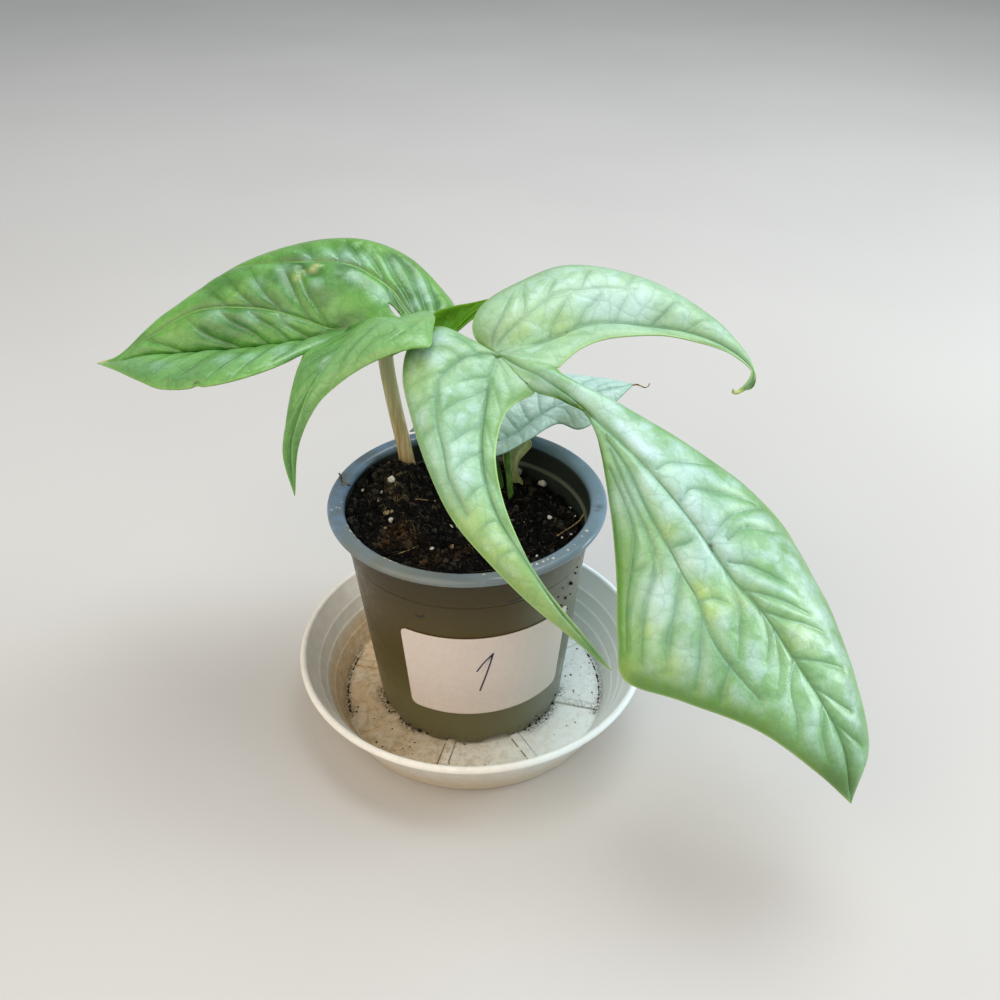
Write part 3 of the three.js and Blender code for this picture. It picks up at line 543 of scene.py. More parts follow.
# Painted shade: dark olive strips in place of the shaded underside that the middle lobe's curled margin and
# the hook show
CURLED_MARGIN_SHADE = (
    (560, 399, 1.4, 0.7), (566, 403, 1.7, 1.0), (573, 407, 1.9, 1.0), (580, 411, 1.9, 1.0),
    (587, 415, 1.6, 1.0), (590, 419, 1.2, 0.9),
)
HOOK_UNDERSIDE_SHADE = ((758, 381, 1.2, 0.6), (756, 386, 1.6, 0.8), (751, 389, 1.8, 0.8), (745, 391, 1.6, 0.5))
# Places where the right leaf is darker: its tips, the far lobe's base and along the middle lobe's margins;
# along the near margin this is painted shade
OLIVE_PLACES = (
    (850, 788, 8, 0.55), (838, 765, 9, 0.35), (603, 660, 6, 0.6), (585, 642, 7, 0.45), (560, 618, 7, 0.35),
    (535, 592, 7, 0.25), (512, 565, 7, 0.2), (488, 338, 6, 0.45), (505, 350, 5, 0.3), (640, 682, 6, 0.35),
    (670, 692, 6, 0.35), (700, 702, 6, 0.35), (730, 715, 6, 0.35), (755, 732, 6, 0.35), (780, 750, 6, 0.35),
    (805, 770, 6, 0.35), (825, 785, 6, 0.35), (795, 555, 9, 0.28), (820, 600, 9, 0.28), (838, 640, 9, 0.3),
    (850, 690, 8, 0.3), (858, 735, 7, 0.3), (755, 600, 8, 0.15), (770, 520, 8, 0.2), (510, 325, 9, 0.2),
    (497, 331, 7, 0.2), (450, 345, 9, 0.15),
)
RIGHT_SCORCH = ((711, 547, 0.9, 1.0), (713, 551, 0.6, 0.8), (568, 335, 0.6, 0.8))
LEFT_YELLOW = (
    (296, 275, 3, 0.5), (241, 290, 5, 0.4), (212, 303, 5, 0.3), (175, 326, 6, 0.3), (405, 325, 6, 0.35),
    (420, 322, 4, 0.3),
)
# Painted highlights on the left leaf: bluish-white spots on its raised skin; place, radius in millimetres,
# strength.
LEFT_PAINTED_HIGHLIGHTS = (
    (346, 258, 4, 0.7), (364, 260, 4, 0.7), (330, 254, 4, 0.5), (307, 260, 3, 0.6), (318, 283, 2.5, 0.6),
    (353, 276, 3, 0.6), (380, 294, 4, 0.6), (419, 285, 4, 0.7), (428, 299, 3, 0.6), (414, 306, 3, 0.5),
    (259, 285, 3, 0.6), (284, 269, 3, 0.6), (217, 314, 4, 0.5), (250, 316, 4, 0.5), (285, 320, 4, 0.5),
    (225, 360, 4, 0.5), (250, 357, 4, 0.5), (280, 350, 5, 0.5), (160, 366, 4, 0.4), (390, 270, 4, 0.5),
)
LEFT_SCORCH = ((322, 270, 0.8, 0.4), (300, 279, 0.7, 0.4))
# Nicks in the near half's margin: place, depth and width in millimetres
LEFT_NICKS = ((197, 386, 2.4, 1.8), (170, 384, 0.8, 4.0))
BLISTERS = (
    (317, 265, 1.3, 1.0), (312, 269, 1.3, 0.9), (306, 272, 1.0, 0.6), (297, 278, 1.4, 0.7),
    (104, 363, 2.5, 0.7), (99, 363, 1.5, 0.6),
)

# Skins of the leaves: name, roughness, share of silver, width of a leading vein, size of the
# patches and of the vein net in millimetres, coat, and the colours of these tones in order
TONES = ("deep", "silver", "vein", "side_vein_and_shade", "margin", "rim", "under", "yellow", "pale", "second")
LEAF_SKINS = {
    "left_leaf": ("glossy_leaf_skin", 0.30, 0.25, 0.3, 16, 7.0, 0.35, (
        (58, 116, 38), (142, 194, 138), (122, 180, 84), (44, 98, 30), (122, 178, 78), (122, 174, 76),
        (104, 150, 70), (150, 186, 84), (160, 206, 184), (126, 180, 108),
    )),
    "right_leaf": ("silver_leaf_skin", 0.40, 0.75, 0.4, 14, 9.0, 0.35, (
        (112, 166, 98), (180, 216, 206), (96, 142, 96), (92, 142, 112), (98, 150, 40), (176, 214, 140),
        (92, 134, 34), (178, 202, 96), (204, 236, 240), (172, 208, 170),
    )),
    # The back leaf's colours are partly painted light: paler and bluer than its own greens, to make up for
    # the shade the right leaf casts on it.
    "back_leaf": ("blue_leaf_skin", 0.45, 0.6, 0.3, 9, 5.0, 0.35, (
        (190, 228, 214), (222, 244, 240), (96, 146, 128), (138, 182, 170), (176, 216, 196), (96, 150, 112),
        (124, 162, 116), (170, 196, 140), (206, 226, 214), (180, 216, 200),
    )),
    "young_leaf": ("young_leaf_skin", 0.6, 0.1, 0.3, 9, 5.0, 0.0, (
        (74, 126, 12), (110, 160, 40), (120, 170, 50), (66, 116, 12), (100, 156, 26), (112, 166, 40),
        (70, 120, 12), (150, 176, 60), (180, 200, 120), (84, 140, 16),
    )),
    "sheath": ("pale_sheath_skin", 0.5, 0.2, 0.3, 6, 7.0, 0.35, (
        (170, 190, 118), (218, 228, 184), (150, 166, 94), (172, 188, 120), (196, 200, 134), (190, 194, 124),
        (186, 198, 132), (206, 200, 120), (226, 232, 196), (200, 212, 150),
    )),
}

# Stalk centre lines and radii
STALKS = {
    "left_stalk": (
        3.3,
        (
            (-27, 40, 70), (-28, 40, 101), (-33, 40, 138), (-35, 40, 158), (-34, 40, 166), (-29, 40, 171),
            (-20, 38, 175.5),
        ),
    ),
    "right_stalk": (
        2.0,
        (
            (15, 34, 70), (14, 33, 92), (12, 32, 106), (9, 31, 119), (9, 22, 145), (11, 11, 167),
            (12, 8, 175),
        ),
    ),
    "back_stalk": (1.4, ((20, 23, 70), (19, 26, 91), (17.5, 31, 108), (17, 33, 118))),
    "young_stalk": (1.2, ((-34, 40, 160), (-29, 36, 164), (-22, 33, 168), (-17, 32, 170))),
}
STALK_SIDES = 24
STALK_RINGS = 90


def paint(red, green, blue):
    """A colour in display units, 0 to 255, as the linear values that a shader takes."""
    shown = np.array([red, green, blue]) / 255.0
    linear = np.where(shown <= 0.04045, shown / 12.92, ((shown + 0.055) / 1.055) ** 2.4)
    return tuple(float(value) for value in linear)


def bell(away, reach):
    """exp(-(away / reach)^2): 1 in the middle, and fading with the distance."""
    return np.exp(-((away / reach) ** 2))


# Curves and surfaces


def smooth_line(points, steps):
    """Uniform Catmull-Rom curve through the points, with `steps` to a span.

    Each end has one extra point, the mirror image of its neighbour in it.
    """
    given = np.array(points, dtype=float)
    p = np.vstack([2 * given[0] - given[1], given, 2 * given[-1] - given[-2]])
    t = (np.arange(steps) / steps)[None, :, None]
    a, b, c, d = (p[i:len(p) - 3 + i, None, :] for i in range(4))
    curve = 0.5 * (2 * b + (c - a) * t + (2 * a - 5 * b + 4 * c - d) * t**2 + (3 * b - a - 3 * c + d) * t**3)
    return np.vstack([curve.reshape(-1, given.shape[1]), given[-1]])


def even_line(points, count):
    """The smooth curve through the points, read at `count` places at even distances."""
    curve = smooth_line(points, 24)
    lengths = np.concatenate([[0], np.cumsum(np.linalg.norm(np.diff(curve, axis=0), axis=1))])
    wanted = np.linspace(0, lengths[-1], count)
    return np.stack([np.interp(wanted, lengths, curve[:, k]) for k in range(curve.shape[1])], axis=1)


def half_blade(vein, half, name, columns):
    """Half a blade: point (s, r) = vein(s) + r (margin(s) - vein(s)) + crown 4 r (1 - r) w(s).

    w is the local width over the widest, and fades in along the vein where the
    first ruling is shared with the neighbouring half.
    """
    margin = smooth_line(half["margin"], (len(vein) - 1) // (len(half["margin"]) - 1))
    widths = np.linalg.norm(margin - vein, axis=1)
    along = np.linspace(0, 1, len(vein))
    start = np.clip(along / CROWN_FADE, 0, 1)
    start = start**2 * (3 - 2 * start) if half.get("fade") else np.ones(len(vein))
    across = np.linspace(0, 1, columns + 1)
    lift = 4 * across[None, :] * (1 - across[None, :]) * (widths / widths.max() * start)[:, None]
    rows = vein[:, None, :] + across[None, :, None] * (margin - vein)[:, None, :]
    rows = rows + lift[:, :, None] * np.array(half["crown"], dtype=float)
    edge = (1 - across)[None, :] * widths[:, None]
    return {
        "name": name,
        "rows": rows,
        "flip": half["side"] == "right",
        "edge": edge,
        "width": np.repeat(widths[:, None], columns + 1, axis=1),
        "shared": rows[0] if half.get("fade") else None,
    }


def join_grids(grids, flips):
    """Merges grids into one mesh: equal points become one, and flat triangles go."""
    points = np.vstack([grid.reshape(-1, 3) for grid in grids])
    keys = np.round(points * 1000).astype(np.int64)
    _, first, inverse = np.unique(keys, axis=0, return_index=True, return_inverse=True)
    inverse = inverse.reshape(-1)
    faces = []
    begin = 0
    for grid, flip in zip(grids, flips):
        count = grid.shape[0] * grid.shape[1]
        table = inverse[begin:begin + count].reshape(grid.shape[:2])
        begin += count
        a, b, c, d = table[:-1, :-1], table[1:, :-1], table[1:, 1:], table[:-1, 1:]
        pair = np.concatenate([np.stack(corners, -1).reshape(-1, 3) for corners in ((a, b, c), (a, c, d))])
        faces.append(pair[:, ::-1] if flip else pair)
    faces = np.vstack(faces)
    whole = (faces[:, 0] != faces[:, 1]) & (faces[:, 1] != faces[:, 2]) & (faces[:, 2] != faces[:, 0])
    return points[first], faces[whole], first


def point_normals(points, faces):
    """Normal at each point: the sum of its triangles' area vectors, made one long."""
    a, b, c = points[faces[:, 0]], points[faces[:, 1]], points[faces[:, 2]]
    area = np.cross(b - a, c - a)
    total = np.zeros_like(points)
    for corner in range(3):
        for axis in range(3):
            total[:, axis] += np.bincount(faces[:, corner], area[:, axis], len(points))
    return total / np.maximum(np.linalg.norm(total, axis=1, keepdims=True), 1e-12)


def directed_edges(faces):
    """Each triangle's three edges, in its own direction."""
    return np.concatenate([faces[:, [0, 1]], faces[:, [1, 2]], faces[:, [2, 0]]])


def rim_edges(faces, count):
    """Directed edges that have no partner the other way round."""
    edges = directed_edges(faces)
    forward = edges[:, 0] * count + edges[:, 1]
    backward = edges[:, 1] * count + edges[:, 0]
    return edges[~np.isin(forward, backward)]


def relax(points, faces, weight, passes):
    """Moves each point towards the mean of its neighbours by its weight.

    A point on the rim looks at its neighbours along the rim alone, so that the
    outline turns rounder and stays an outline.
    """
    rim = rim_edges(faces, len(points))
    on_rim = np.zeros(len(points), dtype=bool)
    on_rim[rim] = True
    inner = directed_edges(faces)
    edges = np.concatenate([inner[~on_rim[inner[:, 0]] & ~on_rim[inner[:, 1]]],
                            inner[~on_rim[inner[:, 0]] & on_rim[inner[:, 1]]], rim, rim[:, ::-1]])
    count = np.bincount(edges[:, 0], minlength=len(points))
    for _ in range(passes):
        total = np.stack([
            np.bincount(edges[:, 0], points[edges[:, 1], axis], len(points)) for axis in range(3)
        ], axis=1)
        points = points + weight[:, None] * (total / np.maximum(count, 1)[:, None] - points)
    return points


def thicken(points, faces, thickness):
    """Two faces, half the thickness either side along the normals, and a wall on the rim."""
    normals = point_normals(points, faces)
    half = (thickness / 2)[:, None] if np.ndim(thickness) else thickness / 2
    count = len(points)
    rim = rim_edges(faces, count)
    start, end = rim[:, 0], rim[:, 1]
    walls = np.concatenate([
        np.stack([end, start, count + start], axis=1),
        np.stack([end, count + start, count + end], axis=1),
    ])
    shell = np.vstack([points + half * normals, points - half * normals])
    return shell, np.vstack([faces, faces[:, ::-1] + count, walls])


def distance_to_line(points, line):
    """Distance from each point to the nearest place on a line of straight pieces."""
    return nearest_on_lines(points, [(1.0, line)], np.inf)[1]


def nearest_on_lines(points, lines, limit=9.0):
    """For each point the offset to the nearest place on the lines, its length and the
    strength there, which fades out over a line's last quarter. Nothing beyond the limit
    counts."""
    offset = np.zeros(points.shape)
    offset[:, 2] = min(limit, 1e6)
    away = np.full(len(points), limit)
    power = np.zeros(len(points))
    for strength, line in lines:
        for i, (start, end) in enumerate(zip(line[:-1], line[1:])):
            step = end - start
            share = np.clip((points - start) @ step / max(step @ step, 1e-9), 0, 1)
            gap = start + share[:, None] * step - points
            length = np.sqrt(np.einsum("ij,ij->i", gap, gap))
            closer = length < away
            left = 1 - (i + share[closer]) / (len(line) - 1)
            offset[closer], away[closer] = gap[closer], length[closer]
            power[closer] = strength * np.clip(VEIN_FADE * left, 0, 1)
    return offset, away, power


def value_noise(x, y, size, seed):
    """Random heights on a lattice `size` apart, blended smoothly between the corners."""
    table = np.random.default_rng(seed).random((64, 64))
    u, v = np.asarray(x) / size + 640, np.asarray(y) / size + 640
    i, j = np.floor(u).astype(int), np.floor(v).astype(int)
    a, b = u - i, v - j
    a, b = a * a * (3 - 2 * a), b * b * (3 - 2 * b)
    low = table[i % 64, j % 64] * (1 - a) + table[(i + 1) % 64, j % 64] * a
    high = table[i % 64, (j + 1) % 64] * (1 - a) + table[(i + 1) % 64, (j + 1) % 64] * a
    return low * (1 - b) + high * b - 0.5


def sweep(path, radii, sides):
    """A closed tube: circles of the given radii, square to the path, closed at each end by a flat fan."""
    path = np.asarray(path, dtype=float)
    along = np.gradient(path, axis=0)
    along /= np.linalg.norm(along, axis=1, keepdims=True)
    side = np.cross(along, [0.31, 0.95, 0.05])
    side /= np.linalg.norm(side, axis=1, keepdims=True)
    other = np.cross(side, along)
    turn = np.linspace(0, 2 * np.pi, sides + 1)
    turn[-1] = 0
    ring = np.cos(turn)[None, :, None] * side[:, None, :] + np.sin(turn)[None, :, None] * other[:, None, :]
    rows = path[:, None, :] + np.asarray(radii)[:, None, None] * ring
    first = np.repeat(path[:1, None, :], sides + 1, axis=1)
    last = np.repeat(path[-1:, None, :], sides + 1, axis=1)
    return np.concatenate([first, rows, last])


def lathe(profile, columns, centre=(0, 0), lift=None):
    """A turned shape: the profile's radius and height carried round the axis.

    `lift` raises points by a height that depends on the angle and the profile place.
    """
    angle = np.linspace(0, 2 * np.pi, columns + 1)
    angle[-1] = 0
    radius, height = profile[:, 0][None, :], profile[:, 1][None, :]
    z = np.repeat(height, len(angle), axis=0)
    if lift is not None:
        z = z + lift(angle[:, None], profile[None, :, :])
    x = centre[0] + radius * np.cos(angle)[:, None]
    y = centre[1] + radius * np.sin(angle)[:, None]
    return np.stack([x, y, z], axis=-1)


def camera_axes():
    """The photograph's camera: its right, ahead and up directions."""
    yaw, pitch = math.radians(CAMERA_YAW), math.radians(CAMERA_PITCH)
    right = np.array([math.cos(yaw), -math.sin(yaw), 0])
    ahead = np.array([math.sin(yaw) * math.cos(pitch), math.cos(yaw) * math.cos(pitch), -math.sin(pitch)])
    return right, ahead, np.cross(right, ahead)


def photo_pixels(points):
    """Where points, in millimetres, fall in the photograph."""
    right, ahead, up = camera_axes()
    view = points - np.array(CAMERA_PLACE)
    depth = view @ ahead
    across = PHOTO_PIXELS / 2 + FOCAL_PIXELS * (view @ right) / depth
    down = PHOTO_PIXELS / 2 - FOCAL_PIXELS * (view @ up) / depth
    return np.stack([across, down], axis=-1)


def on_level(spots, height):
    """Places at a height, in millimetres, that the photograph's pixels look at."""
    right, ahead, up = camera_axes()
    away = (np.array(spots, dtype=float) - PHOTO_PIXELS / 2) / FOCAL_PIXELS
    rays = ahead + away[:, :1] * right - away[:, 1:] * up
    start = np.array(CAMERA_PLACE)
    return start + (height - start[2]) / rays[:, 2:] * rays


def nearest_seen(points, spots):
    """Of the given points, those seen nearest to each of the photograph's pixels."""
    seen = photo_pixels(points)
    return np.array([points[np.argmin(((seen - np.array(spot)) ** 2).sum(axis=1))] for spot in spots])


# Meshes


def make_piece(name, points, faces, material, nodes=(), fields=None, smooth=True):
    """Puts points in millimetres into a mesh in metres, and rides it on the root."""
    mesh = bpy.data.meshes.new(name)
    mesh.from_pydata((np.asarray(points) * MM).tolist(), [], np.asarray(faces).tolist())
    for field, values in (fields or {}).items():
        kind, key = ("FLOAT", "value") if np.ndim(values) == 1 else ("FLOAT_VECTOR", "vector")
        layer = mesh.attributes.new(field, kind, "POINT")
        layer.data.foreach_set(key, np.asarray(values, dtype=np.float32).reshape(-1))
    mesh.polygons.foreach_set("use_smooth", np.full(len(mesh.polygons), smooth))
    mesh.update()
    piece = bpy.data.objects.new(name, mesh)
    bpy.context.scene.collection.objects.link(piece)
    piece.data.materials.append(material)
    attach(piece, "root")
    if nodes:
        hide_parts(*nodes)


class Finish:
    """One procedural material, put together node by node."""

    def __init__(self, name, **sockets):
        self.material = bpy.data.materials.new(name)
        self.material.use_nodes = True
        self.tree = self.material.node_tree
        self.shader = next(node for node in self.tree.nodes if node.type == "BSDF_PRINCIPLED")
        self.place = self.node("ShaderNodeTexCoord").outputs["Object"]
        for socket, value in sockets.items():
            self.feed(self.shader.inputs[socket.replace("_", " ")], value)

    def feed(self, socket, value):
        """Links an output to a socket, or gives the socket a plain value or colour."""
        if isinstance(value, bpy.types.NodeSocket):
            self.tree.links.new(value, socket)
        elif hasattr(socket.default_value, "__len__") and not isinstance(value, (int, float)):
            size = len(socket.default_value)
            socket.default_value = (tuple(value) + (1.0,))[:size]
        else:
            socket.default_value = value

    def node(self, kind, inputs=None, **settings):
        """Adds a node with its inputs fed and its settings set."""
        made = self.tree.nodes.new(kind)
        for key, value in settings.items():
            setattr(made, key, value)
        for key, value in (inputs or {}).items():
            self.feed(made.inputs[key], value)
        return made

    def field(self, name):
        """A value that the mesh carries at its points."""
        return self.node("ShaderNodeAttribute", attribute_name=name).outputs["Fac"]

    def axes(self):
        """The three object coordinates."""
        split = self.node("ShaderNodeSeparateXYZ", {0: self.place})
        return [split.outputs[axis] for axis in ("X", "Y", "Z")]

    def line(self, name, width, blur=0.35):
        """Share of a line of the given half width, in millimetres.

        It reads the offset to the nearest line, which stays exact between two points
        of the mesh, and counts only where the plain distance is small too.
        """
        offset = self.node("ShaderNodeAttribute", attribute_name="to_" + name).outputs["Vector"]
        away = self.node("ShaderNodeVectorMath", {0: offset}, operation="LENGTH").outputs["Value"]
        near = self.range(self.field(name), 1.3, 2.4, 1.0, 0.0)
        return self.times(near, self.range(away, 0.5 * width, width + blur, 1.0, 0.0))

    def noise(self, size, detail=3.0, roughness=0.55, place=None):
        """Noise with features about `size` millimetres across."""
        inputs = {"Vector": place or self.place, "Scale": 1 / (size * MM)}
        inputs.update({"Detail": detail, "Roughness": roughness})
        return self.node("ShaderNodeTexNoise", inputs).outputs["Fac"]

    def warped(self, amount, size):
        """Object coordinates pushed about by up to half of `amount` millimetres."""
        inputs = {"Vector": self.place, "Scale": 1 / (size * MM), "Detail": 2.0}
        push = self.node("ShaderNodeTexNoise", inputs).outputs["Color"]
        scaled = self.node("ShaderNodeVectorMath", {0: push, "Scale": amount * MM}, operation="SCALE")
        inputs = {0: self.place, 1: scaled.outputs["Vector"]}
        return self.node("ShaderNodeVectorMath", inputs, operation="ADD").outputs["Vector"]

    def cells(self, size, feature="F1", place=None):
        """Distance in irregular cells of about `size` millimetres, to their middle or edge."""
        inputs = {"Vector": place or self.place, "Scale": 1 / (size * MM)}
        return self.node("ShaderNodeTexVoronoi", inputs, feature=feature).outputs["Distance"]

    def squeeze(self, scale):
        """Object coordinates scaled by a different amount along each axis."""
        return self.node("ShaderNodeMapping", {"Vector": self.place, "Scale": scale}).outputs["Vector"]

    def range(self, value, low, high, start=0.0, end=1.0):
        """Maps low..high to start..end smoothly, and holds the ends."""
        inputs = {"Value": value, "From Min": low, "From Max": high, "To Min": start, "To Max": end}
        return self.node("ShaderNodeMapRange", inputs, interpolation_type="SMOOTHSTEP").outputs["Result"]

    def span(self, length, low, high, start=0.0, end=1.0):
        """The same for a length, with its limits in millimetres."""
        return self.range(length, low * MM, high * MM, start, end)

    def mottle(self, noise, low, high, start=0.0, end=1.0):
        """Noise of the given size, detail and roughness, mapped like a range."""
        return self.range(self.noise(*noise), low, high, start, end)

    def math(self, operation, first, second=0.0):
        """One step of arithmetic."""
        return self.node("ShaderNodeMath", {0: first, 1: second}, operation=operation).outputs["Value"]

    def times(self, first, second):
        """The product of two values."""
        return self.math("MULTIPLY", first, second)

    def mix(self, share, first, second, blend="MIX"):
        """The first colour with a share of the second."""
        node = self.node("ShaderNodeMix", data_type="RGBA", blend_type=blend)
        self.feed(node.inputs[0], share)
        self.feed(node.inputs[6], first)
        self.feed(node.inputs[7], second)
        return node.outputs[2]

    def tint(self, share, other, blend="MIX"):
        """Mixes another colour into the skin's own by a share."""
        self.color = self.mix(share, self.color, other, blend)

    def bump(self, height, distance, strength=1.0, under=None):
        """Relief of the given height in millimetres, over another one if it is named."""
        inputs = {"Height": height, "Distance": distance * MM, "Strength": strength}
        if under is not None:
            inputs["Normal"] = under
        return self.node("ShaderNodeBump", inputs).outputs["Normal"]

    def done(self, roughness, normal=None):
        """Feeds the skin's colour, roughness and bump to the shader."""
        self.feed(self.shader.inputs["Base Color"], self.color)
        self.feed(self.shader.inputs["Roughness"], roughness)
        if normal is not None:
            self.feed(self.shader.inputs["Normal"], normal)
        return self.material


def plain_skin(name, gloss, noise, limits, first, second, rough, relief=None):
    """Two colours blended by noise, with a relief of noise, height and strength if named."""
    skin = Finish(name, Specular_IOR_Level=gloss)
    skin.color = skin.mix(skin.mottle(noise, *limits), paint(*first), paint(*second))
    if relief is None:
        return skin.done(rough)
    grain, height, strength = relief
    return skin.done(rough, skin.bump(skin.noise(*grain), height, strength))


# Leaves


def vein_lines(halves, veins):
    """Each path in photograph pixels, laid on the named half: for every pixel point
    the grid point seen nearest to it, and a smooth line through these."""
    by_name = {half["name"]: half["rows"].reshape(-1, 3) for half in halves}
    lines = []
    for name, paths in veins.items():
        for strength, path in paths:
            lines.append((strength, smooth_line(nearest_seen(by_name[name], path), 4)))
    return lines


def ruled_veins(half, count, shift, strength):
    """Side veins by rule: the i-th leaves the vein at s_i and runs to s_i + shift r."""
    rows = half["rows"]
    last = rows.shape[0] - 1
    across = np.linspace(0, 0.92, 9)
    column = np.round(across * (rows.shape[1] - 1)).astype(int)
    lines = []
    for i in range(count):
        begin = 0.06 + 0.8 * i / count
        row = np.clip((begin + shift * across) * last, 0, last).astype(int)
        lines.append((strength, rows[row, column]))
    return lines


def spots_field(points, spots, where):
    """Sum of soft round spots placed by photograph pixels on the points `where` allows."""
    seen = photo_pixels(points)
    total = np.zeros(len(points))
    allowed = np.flatnonzero(where)
    for x, y, radius, strength in spots:
        centre = points[allowed[np.argmin(((seen[allowed] - (x, y)) ** 2).sum(axis=1))]]
        away = np.linalg.norm(points - centre, axis=1)
        total += strength * bell(away, radius)
    return np.clip(total, 0, 1)


def build_blade(halves, lines, groove, swell):
    """Joins the halves, softens shared rulings, cuts vein grooves and raises the skin
    between the veins. The blade gets thinner at its margin.

    Height over the blade = swell (1 - exp(-c/PUFF_REACH)) - groove bell(v, GROOVE_WIDTH), where
    c = sqrt(d^2 + CREASE^2) - CREASE, d is the distance to the nearest vein and v that to
    the nearest leading one. Both fade out at the margin.
    """
    rows, flips = zip(*((half["rows"], half["flip"]) for half in halves))
    points, faces, kept = join_grids(rows, flips)
    edge = np.concatenate([half["edge"].reshape(-1) for half in halves])[kept]
    width = np.concatenate([half["width"].reshape(-1) for half in halves])[kept]
    owner = np.concatenate([np.full(half["edge"].size, i) for i, half in enumerate(halves)])[kept]
    weight = np.zeros(len(points))
    for half in halves:
        if half["shared"] is not None:
            weight = np.maximum(weight, bell(distance_to_line(points, half["shared"]), SOFT_REACH))
    if weight.max() > 0:
        points = relax(points, faces, 0.6 * weight, SOFT_PASSES)
    to_leading, leading, _ = nearest_on_lines(points, [line for line in lines if line[0] > LEADING])
    to_side, side, power = nearest_on_lines(points, [line for line in lines if line[0] <= LEADING])
    nearest = np.minimum(leading, side + 1.5 * (LEADING - power))
    hold = 1 - bell(edge, FLAT_MARGIN)
    puffs = np.array([HALF_PUFFS.get(half["name"], 1.0) for half in halves])[owner]
    puffs = puffs * (1 + 0.7 * value_noise(points[:, 0], points[:, 1], 11.0, 21))
    rounded = np.sqrt(nearest**2 + CREASE**2) - CREASE
    puff = (1 - np.exp(-rounded / PUFF_REACH)) * hold
    cut = bell(leading, GROOVE_WIDTH) * hold
    normals = point_normals(points, faces)
    points = points + (swell * puffs * puff - groove * cut)[:, None] * normals
    fields = {
        "leading": leading, "to_leading": to_leading, "side": side, "to_side": to_side, "power": power,
        "edge": edge, "puff": puff, "width": width,
        "second": np.array([HALF_TONES.get(half["name"], 0.0) for half in halves])[owner],
    }
    return points, faces, fields, owner, BLADE_THICKNESS * (0.55 + 0.45 * (1 - np.exp(-edge / 1.5)))


def both_faces(fields, count):
    """Repeats the fields of the upper face on the lower one, and marks the lower one."""
    doubled = {name: np.concatenate([values, values]) for name, values in fields.items()}
    doubled["under"] = np.concatenate([np.zeros(count), np.ones(count)])
    return doubled


def punch_hole(points, faces, hole):
    """Takes out the triangles inside a leaning, sheared oval cylinder and rounds the rim left."""
    lean = math.radians(hole["lean"])
    offset = points - np.array(hole["at"], dtype=float)
    up_slope = np.array([0, math.cos(lean), math.sin(lean)])
    rise = offset @ up_slope
    across = (offset[:, 0] + hole["shear"] * rise) / hole["squeeze"]
    depth = offset @ np.array([0, -math.sin(lean), math.cos(lean)])
    reach = np.hypot(across, rise / hole["stretch"]) / hole["radius"]
    inside = (reach < 1) & (np.abs(depth) < 6)
    kept = faces[~inside[faces].all(axis=1)]
    rim = np.zeros(len(points), dtype=bool)
    rim[np.unique(kept)] = True
    rim &= inside
    push = (1 / np.maximum(reach[rim], 0.2) - 1)[:, None]
    moved = points.copy()
    moved[rim, 0] += push[:, 0] * offset[rim, 0]
    moved[rim] += push * rise[rim][:, None] * up_slope
    return moved, kept


def drop_unused(points, faces, arrays):
    """Takes out the points that no triangle uses, from the arrays too."""
    used = np.unique(faces)
    order = np.zeros(len(points), dtype=np.int64)
    order[used] = np.arange(len(used))
    return points[used], order[faces], [array[used] for array in arrays]


